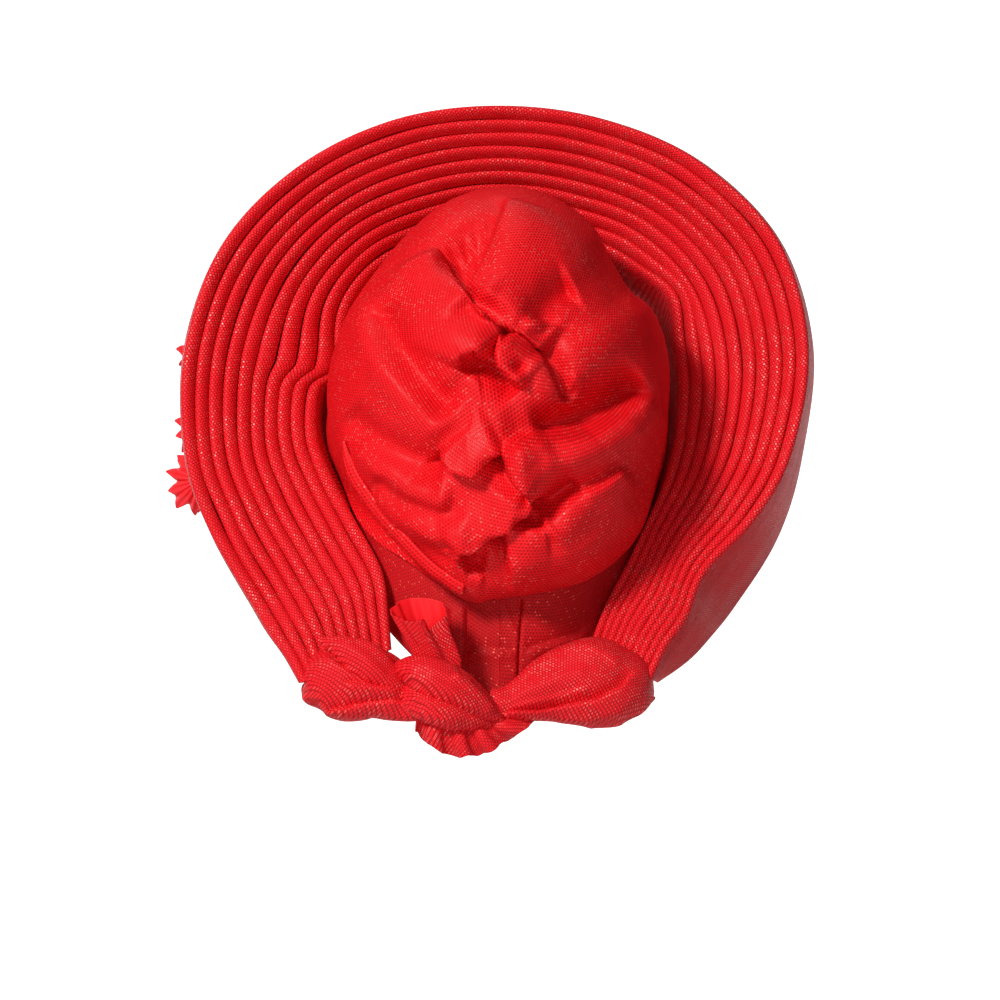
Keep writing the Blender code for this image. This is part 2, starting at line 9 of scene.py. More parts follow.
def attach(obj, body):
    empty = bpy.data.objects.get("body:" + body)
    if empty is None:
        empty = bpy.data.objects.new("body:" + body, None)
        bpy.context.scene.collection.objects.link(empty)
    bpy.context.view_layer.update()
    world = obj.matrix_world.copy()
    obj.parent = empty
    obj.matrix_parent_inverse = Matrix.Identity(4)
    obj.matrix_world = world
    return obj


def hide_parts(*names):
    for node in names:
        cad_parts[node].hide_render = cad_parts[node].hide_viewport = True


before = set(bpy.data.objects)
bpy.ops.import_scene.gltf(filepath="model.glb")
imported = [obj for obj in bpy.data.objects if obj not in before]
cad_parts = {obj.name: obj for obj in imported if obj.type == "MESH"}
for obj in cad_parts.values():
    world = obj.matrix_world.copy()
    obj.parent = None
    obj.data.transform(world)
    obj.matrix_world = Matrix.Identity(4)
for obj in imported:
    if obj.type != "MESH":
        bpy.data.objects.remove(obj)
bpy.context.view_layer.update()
headHalfWidth = 0.075  # the sizes that the CAD is drawn from, in metres
headLength = 0.190
crownToTie = 0.240
pleatReach = 0.066
bagHalfWidth = 0.084
bagHalfHeight = 0.099
step = 0.471  # millimetres that one step of the seen grid covers on the back of the bag
gridMiddle = 500.0  # the seen grid has 1000 steps each way
eyeLevel = -150.9  # millimetres up from the crown seat to the grid's middle


def table(names, *rows):  # rows of values under named columns
    return [dict(zip(names, row)) for row in rows]


def mix(low, high, share):
    return low + (high - low) * share


def ease(low, high, value):
    share = min(max((value - low) / (high - low), 0.0), 1.0)
    return share * share * (3.0 - 2.0 * share)


def hump(place, middle, wide):  # 1 at its middle, and down to nothing on both sides
    return math.exp(-((place - middle) / wide) ** 2)


# camera, light and floor

view = {"distance": 2.6, "height": eyeLevel * 0.001, "across": 0.49, "sensor": 36.0}
lights = table(
    ("name", "at", "size", "power", "tint"),
    ("keyPanel", (-1.30, -2.10, 1.20), 0.5, 82.0, (1.0, 0.985, 0.97)),
    ("fillPanel", (0.3, -2.6, -0.30), 1.0, 15.0, (1.0, 1.0, 1.0)),
    ("topPanel", (-0.2, 0.5, 1.9), 1.2, 8.0, (1.0, 1.0, 1.0)),
)
room = {"floor": -0.62, "half": 4.5, "front": 5.5, "bend": 0.8, "back": 2.6, "top": 3.4, "ambient": 0.07,
        "paint": 0.70, "roughness": 0.9, "glow": 0.9, "glowFrom": 1.4, "glowTo": 2.4,
        "litMiddle": (0.0, 0.0, -0.12)}

camera = bpy.data.objects.new("camera", bpy.data.cameras.new("camera"))
camera.location = (0.0, -view["distance"], view["height"])
camera.rotation_euler = (math.pi / 2.0, 0.0, 0.0)
camera.data.sensor_width = view["sensor"]
camera.data.lens = view["sensor"] * view["distance"] / view["across"]
bpy.context.scene.collection.objects.link(camera)
bpy.context.scene.camera = camera
bpy.context.scene.view_settings.view_transform = "Standard"
for lamp in lights:
    panel = bpy.data.objects.new(lamp["name"], bpy.data.lights.new(lamp["name"], "AREA"))
    panel.data.size = lamp["size"]
    panel.data.energy = lamp["power"]
    panel.data.color = lamp["tint"]
    panel.location = lamp["at"]
    panel.rotation_euler = (Vector(room["litMiddle"]) - panel.location).to_track_quat("-Z", "Y").to_euler()
    bpy.context.scene.collection.objects.link(panel)
sky = bpy.data.worlds.new("studio")
sky.use_nodes = True
ray = sky.node_tree.nodes.new("ShaderNodeLightPath")
level = sky.node_tree.nodes.new("ShaderNodeMapRange")
level.inputs["To Min"].default_value = room["ambient"]  # what lights the cloth
level.inputs["To Max"].default_value = 1.0  # what shows behind it
sky.node_tree.links.new(ray.outputs["Is Camera Ray"], level.inputs["Value"])
sky.node_tree.links.new(level.outputs["Result"], sky.node_tree.nodes["Background"].inputs["Strength"])
sky.node_tree.nodes["Background"].inputs["Color"].default_value = (1.0, 1.0, 1.0, 1.0)
bpy.context.scene.world = sky


def makeFloor():
    ground = bmesh.new()
    bmesh.ops.create_grid(ground, x_segments=2, y_segments=48, size=0.5)
    bendEnd = 0.7  # flat over the first half of the grid, bent up to here, then upright
    for vert in ground.verts:
        along = vert.co.y + 0.5
        x = vert.co.x * 2.0 * room["half"]
        if along < 0.5:
            vert.co = (x, mix(-room["front"], room["back"], along / 0.5), room["floor"])
        elif along < bendEnd:
            turn = (along - 0.5) / (bendEnd - 0.5) * math.pi / 2.0
            vert.co = (x, room["back"] + room["bend"] * math.sin(turn),
                       room["floor"] + room["bend"] * (1.0 - math.cos(turn)))
        else:
            rise = (along - bendEnd) / (1.0 - bendEnd)
            vert.co = (x, room["back"] + room["bend"],
                       room["floor"] + room["bend"] + rise * (room["top"] - room["bend"]))
    mesh = bpy.data.meshes.new("studioFloor")
    ground.to_mesh(mesh)
    ground.free()
    mesh.shade_smooth()
    floor = bpy.data.objects.new("studioFloor", mesh)
    bpy.context.scene.collection.objects.link(floor)
    paint = bpy.data.materials.new("palePaint")
    paint.use_nodes = True
    shader = paint.node_tree.nodes["Principled BSDF"]
    shader.inputs["Base Color"].default_value = grey(room["paint"])
    shader.inputs["Roughness"].default_value = room["roughness"]
    shader.inputs["Emission Strength"].default_value = 1.0
    depth = Wire(paint.node_tree).place().axis(1)
    glow = depth.band(room["glowFrom"], room["glowTo"])  # only the wall behind glows
    feed(shader, "Emission Color", glow.mixed(grey(0.0), grey(room["glow"])))
    mesh.materials.append(paint)


# shader maths: sums written on sockets

class Wire:
    def __init__(self, tree, socket=None):
        self.tree = tree
        self.socket = socket

    def node(self, kind, settings, values, output=0):
        made = self.tree.nodes.new(kind)
        for name, value in settings.items():
            setattr(made, name, value)
        for name, value in values.items():
            if isinstance(value, Wire):
                self.tree.links.new(value.socket, made.inputs[name])
            else:
                made.inputs[name].default_value = value
        return Wire(self.tree, made.outputs[output])

    def maths(self, operation, *values):
        return self.node("ShaderNodeMath", {"operation": operation}, dict(enumerate(values)))

    def __add__(self, other):
        return self.maths("ADD", self, other)

    def __radd__(self, other):
        return self.maths("ADD", other, self)

    def __sub__(self, other):
        return self.maths("SUBTRACT", self, other)

    def __rsub__(self, other):
        return self.maths("SUBTRACT", other, self)

    def __mul__(self, other):
        return self.maths("MULTIPLY", self, other)

    def __rmul__(self, other):
        return self.maths("MULTIPLY", other, self)

    def place(self):  # Object coordinates
        return self.node("ShaderNodeTexCoord", {}, {}, 3)

    def axis(self, index):
        return self.node("ShaderNodeSeparateXYZ", {}, {0: self}, index)

    def cloud(self, scale, detail):
        return self.node("ShaderNodeTexNoise", {}, {"Vector": self, "Scale": scale, "Detail": detail})

    def band(self, low, high):  # 0 below low, 1 above high, smooth between
        return self.node("ShaderNodeMapRange", {"interpolation_type": "SMOOTHSTEP"},
                         {"Value": self, "From Min": low, "From Max": high})

    def mixed(self, low, high):  # two colours, by this value
        return self.node("ShaderNodeMix", {"data_type": "RGBA"}, {0: self, 6: low, 7: high}, 2)


def newCloth(name, roughness):
    material = bpy.data.materials.new(name)
    material.use_nodes = True
    shader = material.node_tree.nodes["Principled BSDF"]
    shader.inputs["Roughness"].default_value = roughness
    shader.inputs["Specular IOR Level"].default_value = 0.16  # dull, as cloth is
    return material, shader, Wire(material.node_tree)


def feed(shader, name, wire):
    wire.tree.links.new(wire.socket, shader.inputs[name])


def emboss(shader, height, strength, distance):
    feed(shader, "Normal", height.node("ShaderNodeBump", {}, {"Height": height, "Strength": strength,
                                                              "Distance": distance}))


def colour(red, green, blue):
    return (red, green, blue, 1.0)


def grey(value):
    return colour(value, value, value)


makeFloor()
print("camera, lights and floor are set")

# pitch in metres; holes is 1 where the threads cross round a hole, and 0 where each cell is one bead
netLooks = {
    "fanNet": {"pitch": 0.00140, "slant": 0.70, "brick": 0.5, "holes": 0,
               "base": colour(0.96, 0.016, 0.026), "deep": colour(0.88, 0.012, 0.020),
               "hole": colour(0.40, 0.001, 0.004),
               "glint": colour(1.0, 0.14, 0.13), "glints": 0.50, "roughness": 0.52, "relief": 0.75},
    "bagNet": {"pitch": 0.00185, "slant": 0.0, "brick": 0.5, "holes": 1,
               "base": colour(0.86, 0.008, 0.014), "deep": colour(0.76, 0.006, 0.011),
               "hole": colour(0.46, 0.002, 0.004),
               "glint": colour(1.0, 0.13, 0.11), "glints": 0.22, "roughness": 0.46, "relief": 0.55},
    # painted shade: the band's net is the bag's net made about a third darker, standing in for the bag's
    # shadow over the nape band
    "bandNetPaintedShade": {"pitch": 0.00160, "slant": 0.30, "brick": 0.5, "holes": 1,
                "base": colour(0.55, 0.004, 0.008), "deep": colour(0.48, 0.003, 0.006),
                "hole": colour(0.28, 0.001, 0.003),
                "glint": colour(0.9, 0.10, 0.08), "glints": 0.14, "roughness": 0.58, "relief": 0.45},
}
# what the nets share: pairs are where a mask begins and ends
threads = {"driftScale": 34.0, "patchScale": 55.0, "hole": (0.34, 0.78), "bead": (0.10, 0.60),
           "holeTint": 0.85, "knot": (0.55, 0.95), "patch": (0.36, 0.62), "fewer": 0.7, "metal": 0.60,
           "uneven": 0.14, "shine": 0.16, "lift": 0.3, "depth": 0.0005}


def cellsOf(across, up, brick):  # brick cells: which one, and how near its middle
    row = up.maths("FLOOR", up)
    across = across + brick * row
    column = across.maths("FLOOR", across)
    inAcross = (across - column) * 2.0 - 1.0
    inUp = (up - row) * 2.0 - 1.0
    cell = row.node("ShaderNodeCombineXYZ", {}, {0: column, 1: row})
    chance = row.node("ShaderNodeTexWhiteNoise", {"noise_dimensions": "2D"}, {"Vector": cell})
    return chance, (1.0 - inAcross * inAcross) * (1.0 - inUp * inUp)


def netCloth(name):
    look = netLooks[name]
    material, shader, wire = newCloth(name, look["roughness"])
    spot = wire.node("ShaderNodeUVMap", {"uv_map": "cloth"}, {})
    turned = wire.node("ShaderNodeVectorRotate", {"rotation_type": "Z_AXIS"},
                       {"Vector": spot, "Angle": look["slant"]})
    across = turned.axis(0) * (1.0 / look["pitch"])
    up = turned.axis(1) * (1.0 / look["pitch"])
    chance, bead = cellsOf(across, up, look["brick"])
    if look["holes"]:
        hole = bead.band(*threads["hole"])
        chance, knots = cellsOf(across + 0.5, up + 0.5, look["brick"])
        thread = 1.0 - hole
    else:
        thread = bead.band(*threads["bead"])
        hole = 1.0 - thread
        knots = bead
    place = wire.place()
    tone = place.cloud(threads["driftScale"], 3.0).band(0.30, 0.70).mixed(look["deep"], look["base"])
    shade = (hole * threads["holeTint"]).mixed(tone, look["hole"])
    sparkle = chance.band(1.0 - look["glints"], 1.0 - threads["fewer"] * look["glints"])
    sparkle = sparkle * knots.band(*threads["knot"])
    sparkle = sparkle * place.cloud(threads["patchScale"], 1.0).band(*threads["patch"])
    feed(shader, "Base Color", sparkle.mixed(shade, look["glint"]))
    feed(shader, "Metallic", sparkle * threads["metal"])
    rough = look["roughness"] + (chance - 0.5) * threads["uneven"]
    feed(shader, "Roughness", rough - sparkle * threads["shine"])
    emboss(shader, thread + chance * threads["lift"], look["relief"], threads["depth"])
    return material


satinLooks = {
    "plainSatin": {"base": colour(0.66, 0.004, 0.009), "deep": colour(0.56, 0.003, 0.007),
                   "roughness": 0.40},
    "petalSatin": {"base": colour(0.92, 0.030, 0.040), "deep": colour(0.84, 0.014, 0.024),
                   "roughness": 0.42},
    "tailSatin": {"base": colour(0.90, 0.014, 0.020), "deep": colour(0.80, 0.010, 0.016),
                  "roughness": 0.42},
}
satinWeave = {"driftScale": 60.0, "scale": 900.0, "bend": 0.6, "uneven": 0.10, "relief": 0.16,
              "depth": 0.0002}


def satinCloth(name):
    look = satinLooks[name]
    material, shader, wire = newCloth(name, look["roughness"])
    spot = wire.node("ShaderNodeUVMap", {"uv_map": "cloth"}, {})
    drift = wire.place().cloud(satinWeave["driftScale"], 2.0)
    feed(shader, "Base Color", drift.band(0.30, 0.70).mixed(look["deep"], look["base"]))
    weave = wire.node("ShaderNodeTexWave", {"bands_direction": "DIAGONAL"},
                      {"Vector": spot, "Scale": satinWeave["scale"], "Distortion": satinWeave["bend"],
                       "Detail": 1.0}, 1)
    feed(shader, "Roughness", look["roughness"] + (weave - 0.5) * satinWeave["uneven"])
    emboss(shader, weave, satinWeave["relief"], satinWeave["depth"])
    return material


cloths = {name: netCloth(name) for name in netLooks}
cloths.update({name: satinCloth(name) for name in satinLooks})
print("cloths are mixed")


# tables read smoothly, and cloth sheets from grids

def readRows(rows, key, place):
    last = len(rows) - 1
    index = min(max(int(place), 0), last - 1)
    share = place - index
    before, start, end, after = [rows[min(max(index + way, 0), last)][key] for way in (-1, 0, 1, 2)]
    leave = 0.5 * (end - before)
    arrive = 0.5 * (after - start)
    square = share * share
    cube = square * share
    return ((2 * cube - 3 * square + 1) * start + (cube - 2 * square + share) * leave
            + (3 * square - 2 * cube) * end + (cube - square) * arrive)


def placeOf(rows, key, value):
    for index in range(len(rows) - 1):
        low = rows[index][key]
        high = rows[index + 1][key]
        if min(low, high) <= value <= max(low, high):
            return index + (value - low) / (high - low)
    return 0.0 if abs(value - rows[0][key]) < abs(value - rows[-1][key]) else len(rows) - 1.0


def lengths(points):  # running length down each line of a net of points, from its middle
    steps = numpy.linalg.norm(numpy.diff(points, axis=0), axis=2)
    run = numpy.concatenate([numpy.zeros((1, points.shape[1])), numpy.cumsum(steps, axis=0)])
    return run - run[len(run) // 2]


# uv holds a layout of the cloth for each panel, panel picks a face's layout, and second picks its cloth
def gridSheet(name, points, wall, looks, ring=False, even=False, uv=None, second=None, lining=False,
              panel=None):
    columns = points.shape[0] - 1
    rows = points.shape[1] - 1
    panels = uv or [(lengths(points), lengths(points.transpose(1, 0, 2)).T)]
    sheet = bmesh.new()
    bmesh.ops.create_grid(sheet, x_segments=columns, y_segments=rows, size=0.5, calc_uvs=False)
    layer = sheet.loops.layers.uv.new("cloth")
    keys = {}
    for vert in sheet.verts:
        key = (round((vert.co.x + 0.5) * columns), round((vert.co.y + 0.5) * rows))
        keys[vert.index] = key
        vert.co = points[key]
    for face in sheet.faces:
        face.smooth = True
        corner = [keys[loop.vert.index] for loop in face.loops]
        middle = (sum(key[0] for key in corner) // 4, sum(key[1] for key in corner) // 4)
        own = panels[panel(middle) if panel else 0]
        for loop in face.loops:
            key = keys[loop.vert.index]
            loop[layer].uv = (own[0][key], own[1][key])
        if second is not None:
            face.material_index = second(middle)
    if ring:
        bmesh.ops.remove_doubles(sheet, verts=sheet.verts, dist=1e-6)
    mesh = bpy.data.meshes.new(name)
    sheet.to_mesh(mesh)
    sheet.free()
    piece = bpy.data.objects.new(name, mesh)
    bpy.context.scene.collection.objects.link(piece)
    for look in looks:
        mesh.materials.append(cloths[look])
    solid = piece.modifiers.new("wall", "SOLIDIFY")
    solid.thickness = wall
    solid.offset = 0.0
    solid.use_even_offset = even
    solid.material_offset = 1 if lining else 0
    return piece


def areaOf(points):
    low = points[1:, :-1] - points[:-1, :-1]
    up = points[:-1, 1:] - points[:-1, :-1]
    return float(numpy.linalg.norm(numpy.cross(low, up), axis=2).sum())


def dress(piece, node, width, points):
    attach(piece, "root")
    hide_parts(node)
    round(areaOf(points) / width, 3)


# folds: lines drawn on the seen grid, from which the cloth rises

def seen(x, z):  # a place on the seen grid, in millimetres across and up from the crown seat
    return (x - gridMiddle) * step, eyeLevel + (gridMiddle - z) * step


def onGrid(x, z):  # a place in metres, on the seen grid
    return gridMiddle + x * 1000.0 / step, gridMiddle - (z * 1000.0 - eyeLevel) / step


foldEnds = 0.12  # the share of a fold's line over which it grows and dies away
leanWidth = 5.0  # millimetres from its line over which a fold leans on its soft side


def foldField(x, z, folds, swells):  # rise and lean of folded cloth at arrays of places, in metres
    x = x * 1000.0
    z = z * 1000.0
    total = numpy.zeros_like(x)
    leanX = numpy.zeros_like(x)
    leanZ = numpy.zeros_like(x)
    for fold in folds:
        line = [seen(*point) for point in fold["line"]]
        runs = [math.dist(a, b) for a, b in zip(line, line[1:])]
        best = numpy.full_like(x, 1e9)
        side = numpy.zeros_like(x)
        reach = numpy.zeros_like(x)
        overX = numpy.zeros_like(x)
        overZ = numpy.zeros_like(x)
        for index, (start, end) in enumerate(zip(line, line[1:])):
            dx = end[0] - start[0]
            dz = end[1] - start[1]
            share = numpy.clip(((x - start[0]) * dx + (z - start[1]) * dz) / (dx * dx + dz * dz), 0.0, 1.0)
            away = numpy.hypot(x - start[0] - share * dx, z - start[1] - share * dz)
            near = away < best
            best = numpy.where(near, away, best)
            side = numpy.where(near, -dz * (x - start[0]) + dx * (z - start[1]), side)
            reach = numpy.where(near, (sum(runs[:index]) + share * runs[index]) / sum(runs), reach)
            overX = numpy.where(near, -dz / runs[index], overX)
            overZ = numpy.where(near, dx / runs[index], overZ)
        ends = numpy.clip(reach / foldEnds, 0.0, 1.0) * numpy.clip((1.0 - reach) / foldEnds, 0.0, 1.0)
        ends = ends * ends * (3.0 - 2.0 * ends)
        steep = side * fold["side"] > 0.0
        crest = numpy.exp(-(best / numpy.where(steep, fold["sharp"], fold["soft"])) ** 2)
        hollow = best / (0.5 * fold["gap"])
        total += fold["rise"] * crest * ends
        total -= numpy.where(steep, fold["cut"] * hollow * numpy.exp(1.0 - hollow), 0.0) * ends
        roll = numpy.exp(-(best / numpy.where(steep, fold["sharp"], leanWidth)) ** 2) * ends
        leanX += fold["side"] * fold["over"] * roll * overX
        leanZ += fold["side"] * fold["over"] * roll * overZ
    for swell in swells:
        middle = seen(*swell["at"])
        turn = math.radians(swell["turn"])
        dx = x - middle[0]
        dz = z - middle[1]
        a = (dx * math.cos(turn) + dz * math.sin(turn)) / (swell["reach"][0] * step)
        b = (dz * math.cos(turn) - dx * math.sin(turn)) / (swell["reach"][1] * step)
        total += swell["rise"] * numpy.exp(-a * a - b * b)
    return total * 0.001, leanX * 0.001, leanZ * 0.001


# in millimetres: soft and sharp are its widths on either side, cut and gap the furrow at its foot, and
# over is its lean; with side 1 it is steep on the left of its line, with -1 on the right
def crease(line, rise, soft, sharp, cut, gap, side, over=0.0):
    return {"line": line, "rise": rise, "soft": soft, "sharp": sharp, "cut": cut, "gap": gap, "side": side,
            "over": over}


def soften(line, rise, wide):  # an even ridge or valley
    return crease(line, rise, wide, wide, 0.0, 5.0, 0)


# head band: a flat ring, its nape stretch seen under the bag

bandRows = table(
    ("azimuth", "across", "deep", "top"),
    (90, 0.00, 0.505, -0.183),
    (70, 0.40, 0.484, -0.192),
    (50, 0.72, 0.411, -0.225),
    (30, 0.93, 0.284, -0.300),
    (10, 1.03, 0.126, -0.408),
    (-10, 1.01, -0.021, -0.512),
    (-30, 0.89, -0.147, -0.596),
    (-50, 0.69, -0.242, -0.683),
    (-70, 0.37, -0.316, -0.762),
    (-90, 0.00, -0.347, -0.792),
)
band = {"columns": 420, "rows": 40, "wall": 0.0013, "frontHeight": 0.030, "napeHeight": 0.057,
        "bunch": 0.62, "hem": 0.0007, "hemAt": 0.06, "hemWide": 0.05, "uneven": 0.0005,
        "foldedBehind": -0.02, "flatWidth": 0.055}
bandFolds = (
    soften(((523, 596), (521, 625), (519, 650), (518, 684)), -2.4, 0.75),
    crease(((500, 596), (519, 640), (516, 684)), 0.5, 3.0, 1.0, 0.0, 4, 1),
    crease(((463, 604), (463, 640), (462, 672)), 2.0, 4.5, 0.8, 1.2, 3, 1),
    crease(((451, 610), (452, 640), (454, 668)), 1.6, 3.0, 0.8, 1.6, 3, -1),
    crease(((524, 655), (548, 648), (572, 641), (590, 634)), 1.4, 5.0, 0.8, 1.2, 3, 1),
    crease(((466, 652), (490, 654), (517, 656)), 0.9, 4.0, 0.7, 0.8, 3, 1),
)


def bandMiddle(azimuth, height):
    turned = (azimuth + 90.0) % 360.0 - 90.0
    mirrored = turned > 90.0
    if mirrored:
        turned = 180.0 - turned
    place = placeOf(bandRows, "azimuth", turned)
    across = readRows(bandRows, "across", place) * headHalfWidth
    deep = readRows(bandRows, "deep", place) * headLength
    top = readRows(bandRows, "top", place) * crownToTie
    tall = mix(band["napeHeight"], band["frontHeight"], (turned + 90.0) / 180.0)
    return Vector((-across if mirrored else across, deep, top - tall * (1.0 - height)))


def bandOutward(azimuth):
    along = bandMiddle(azimuth + 2.0, 1.0) - bandMiddle(azimuth - 2.0, 1.0)
    return Vector((along.y, -along.x, 0.0)).normalized()


def makeBand():
    points = numpy.zeros((band["columns"] + 1, band["rows"] + 1, 3))
    outward = numpy.zeros_like(points)
    for column in range(band["columns"] + 1):
        t = column / band["columns"]
        azimuth = -90.0 + 360.0 * (t - band["bunch"] * math.sin(2.0 * math.pi * t) / (2.0 * math.pi))
        away = bandOutward(azimuth)
        for row in range(band["rows"] + 1):
            height = row / band["rows"]
            lift = band["hem"] * hump(height, band["hemAt"], band["hemWide"])
            lift += band["uneven"] * noise.noise(Vector((azimuth * 0.09, height * 2.0, 3.0)))
            points[column, row] = bandMiddle(azimuth, height) + away * lift
            outward[column, row] = away
    rise, leanX, leanZ = foldField(points[:, :, 0], points[:, :, 2], bandFolds, ())
    points += outward * (rise * (points[:, :, 1] < band["foldedBehind"]))[:, :, None]
    # the band's outer net carries painted shade for the shadow of the bag above it
    piece = gridSheet("napeBand", points, band["wall"], ["bandNetPaintedShade", "plainSatin"], ring=True, lining=True)
    dress(piece, "head_band", band["flatWidth"], points)


makeBand()
print("band is made")


# pleated fan: one cloth folded back and forth round the head

fanRows = table(
    ("innerX", "innerZ", "innerY", "outX", "outZ", "outerY", "flare", "frontY", "seat", "onTop"),
    (-0.690, -0.926, -0.332, -0.66, -0.24, -0.405, 0.01, -0.290, 227, 0),
    (-0.716, -0.853, -0.300, -0.74, -0.32, -0.365, 0.02, -0.220, 218, 0),
    (-0.760, -0.769, -0.253, -0.82, -0.45, -0.316, 0.03, -0.126, 206, 0),
    (-0.940, -0.667, -0.168, -0.73, -0.64, -0.263, 0.04, -0.021, 193, 0),
    (-1.080, -0.583, -0.084, -0.88, -0.42, -0.211, 0.04, 0.074, 181, 0),
    (-1.190, -0.489, 0.000, -0.96, -0.18, -0.168, 0.05, 0.147, 169, 0),
    (-1.150, -0.364, 0.074, -1.01, 0.18, -0.116, 0.06, 0.200, 156, 0),
    (-1.007, -0.241, 0.147, -0.89, 0.50, -0.074, 0.06, 0.242, 143, 1),
    (-0.747, -0.143, 0.211, -0.62, 0.72, -0.032, 0.06, 0.284, 127, 1),
    (-0.379, -0.096, 0.263, -0.33, 0.89, 0.000, 0.06, 0.316, 110, 1),
    (0.000, -0.077, 0.274, 0.00, 0.92, 0.010, 0.06, 0.326, 90, 1),
    (0.379, -0.096, 0.263, 0.33, 0.89, 0.000, 0.06, 0.316, 70, 1),
    (0.763, -0.137, 0.211, 0.61, 0.72, -0.032, 0.07, 0.284, 53, 1),
    (1.052, -0.233, 0.147, 0.86, 0.48, -0.074, 0.07, 0.242, 37, 1),
    (1.150, -0.363, 0.074, 0.97, 0.17, -0.116, 0.08, 0.200, 24, 0),
    (1.140, -0.486, 0.000, 0.85, -0.17, -0.168, 0.12, 0.147, 11, 0),
    (1.080, -0.575, -0.084, 0.64, -0.34, -0.221, 0.24, 0.074, -1, 0),
    (0.950, -0.672, -0.168, 0.42, -0.38, -0.284, 0.34, -0.021, -13, 0),
    (0.800, -0.767, -0.253, 0.45, -0.35, -0.340, 0.24, -0.137, -24, 0),
    (0.670, -0.845, -0.300, 0.44, -0.28, -0.385, 0.20, -0.215, -34, 0),
    (0.590, -0.910, -0.330, 0.42, -0.27, -0.415, 0.06, -0.280, -42, 0),
)
fan = {"stations": 240, "pleats": 10, "wall": 0.0009, "backRoll": 0.87, "frontRoll": 0.80,
       "backDepth": 1.24, "frontDepth": 0.5, "wander": 0.0005, "uneven": 0.10, "overBand": 0.0024,
       "aboveBand": 0.0017,
       "backTurns": (90, 62, 34, 10, -14, -38, -64, -90), "frontTurns": (90, 35, -35, -90),
       "weaveShift": 0.0171, "flatWidth": 0.90}
# where the inner rolls jog: its place, reach in metres, width below and above, and the rolls it grows over
jogs = table(
    ("place", "reach", "below", "above", "from", "to"),
    (6.04, 0.0125, 0.19, 0.72, 3.5, 9.5),
    (12.95, -0.0052, 0.45, 0.42, 6.5, 8.5),
)
bulges = table(("place", "wide", "reach"), (3.6, 0.7, 0.0030), (16.4, 0.7, 0.0030), (5.4, 0.6, -0.0040))


def fanCorners(place):
    inner = Vector((readRows(fanRows, "innerX", place) * headHalfWidth,
                    readRows(fanRows, "innerY", place) * headLength,
                    readRows(fanRows, "innerZ", place) * crownToTie))
    out = Vector((readRows(fanRows, "outX", place), 0.0, readRows(fanRows, "outZ", place))) * pleatReach
    outer = inner + out
    outer.y = readRows(fanRows, "outerY", place) * headLength
    seat = readRows(fanRows, "seat", place)
    frontOuter = outer + out.normalized() * readRows(fanRows, "flare", place) * pleatReach
    frontOuter.y = readRows(fanRows, "frontY", place) * headLength
    frontInner = bandMiddle(seat, 1.0) + bandOutward(seat) * fan["overBand"]
    frontInner.z += fan["aboveBand"]
    frontInner.z = mix(inner.z, frontInner.z, readRows(fanRows, "onTop", place))
    return inner, outer, frontInner, frontOuter


def jogAt(place, pleat):
    total = 0.0
    for jog in jogs:
        wide = jog["below"] if place < jog["place"] else jog["above"]
        total += jog["reach"] * hump(place, jog["place"], wide) * ease(jog["from"], jog["to"], pleat)
    return total


def bulgeAt(place):  # how far the inner wall stands in towards the head, in metres
    return sum(bulge["reach"] * hump(place, bulge["place"], bulge["wide"]) for bulge in bulges)


def rollArc(middle, half, depth, turns):  # points round one roll, at turns in degrees
    angles = [math.radians(turn) for turn in turns]
    return [middle + half * math.sin(angle) + depth * math.cos(angle) for angle in angles]


def fanSection(place):
    inner, outer, frontInner, frontOuter = fanCorners(place)
    toFront = ((frontInner + frontOuter) - (inner + outer)).normalized()
    pleats = fan["pleats"]
    backPitch = (outer - inner) / pleats
    frontPitch = (frontOuter - frontInner) / pleats
    backWay = backPitch.normalized()
    frontWay = frontPitch.normalized()
    backHalf = 0.5 * fan["backRoll"] * backPitch.length
    frontHalf = 0.5 * fan["frontRoll"] * frontPitch.length
    points = [mix(frontOuter, outer, share) for share in (0.0, 0.35, 0.7)]
    groups = [0, 0, 0]
    for pleat in range(pleats):
        sway = fan["wander"] * noise.noise(Vector((place * 1.3, pleat * 5.1, 0.7)))
        middle = outer - backPitch * (pleat + 0.5) + backWay * (sway - jogAt(place, pleat))
        swell = 1.0 + fan["uneven"] * noise.noise(Vector((place * 0.9, pleat * 3.7, 9.0)))
        spread = 0.5 * (jogAt(place, pleat + 1.0) - jogAt(place, pleat - 1.0))
        half = 0.5 * fan["backRoll"] * max(backPitch.length + spread, 0.5 * backPitch.length)
        depth = toFront * -(backHalf * fan["backDepth"] * swell)
        points += rollArc(middle, backWay * half, depth, fan["backTurns"])
        groups += [2 * pleat + 1] * len(fan["backTurns"])
        if pleat < pleats - 1:
            front = frontOuter - frontPitch * (pleat + 1.0)
            points.append(mix(points[-1], front + frontWay * frontHalf, 0.45))
            depth = toFront * (frontHalf * fan["frontDepth"])
            points += rollArc(front, frontWay * frontHalf, depth, fan["frontTurns"])
            nextBack = outer - backPitch * (pleat + 1.5) + backWay * backHalf
            points.append(mix(points[-1], nextBack, 0.55))
            groups += [2 * pleat + 1] + [2 * pleat + 2] * len(fan["frontTurns"]) + [2 * pleat + 3]
    points.append(mix(points[-1], frontInner, 0.5) - backWay * bulgeAt(place))
    points.append(frontInner)
    groups += [2 * pleats, 2 * pleats]
    return points, groups


def rollLengths(points, groups):  # each roll is measured from its own crest, so the weave keeps along it
    along = numpy.zeros(points.shape[:2])
    across = numpy.zeros(points.shape[:2])
    for group in sorted(set(groups)):
        members = [index for index, own in enumerate(groups) if own == group]
        crest = members[len(members) // 2]
        steps = numpy.linalg.norm(numpy.diff(points[:, crest], axis=0), axis=1)
        along[:, members] = numpy.concatenate([[0.0], numpy.cumsum(steps)])[:, None]
        for member in members:
            low, high = sorted((crest, member))
            arc = numpy.linalg.norm(numpy.diff(points[:, low:high + 1], axis=1), axis=2).sum(axis=1)
            across[:, member] = (arc if member > crest else -arc) + group * fan["weaveShift"]
    return along, across


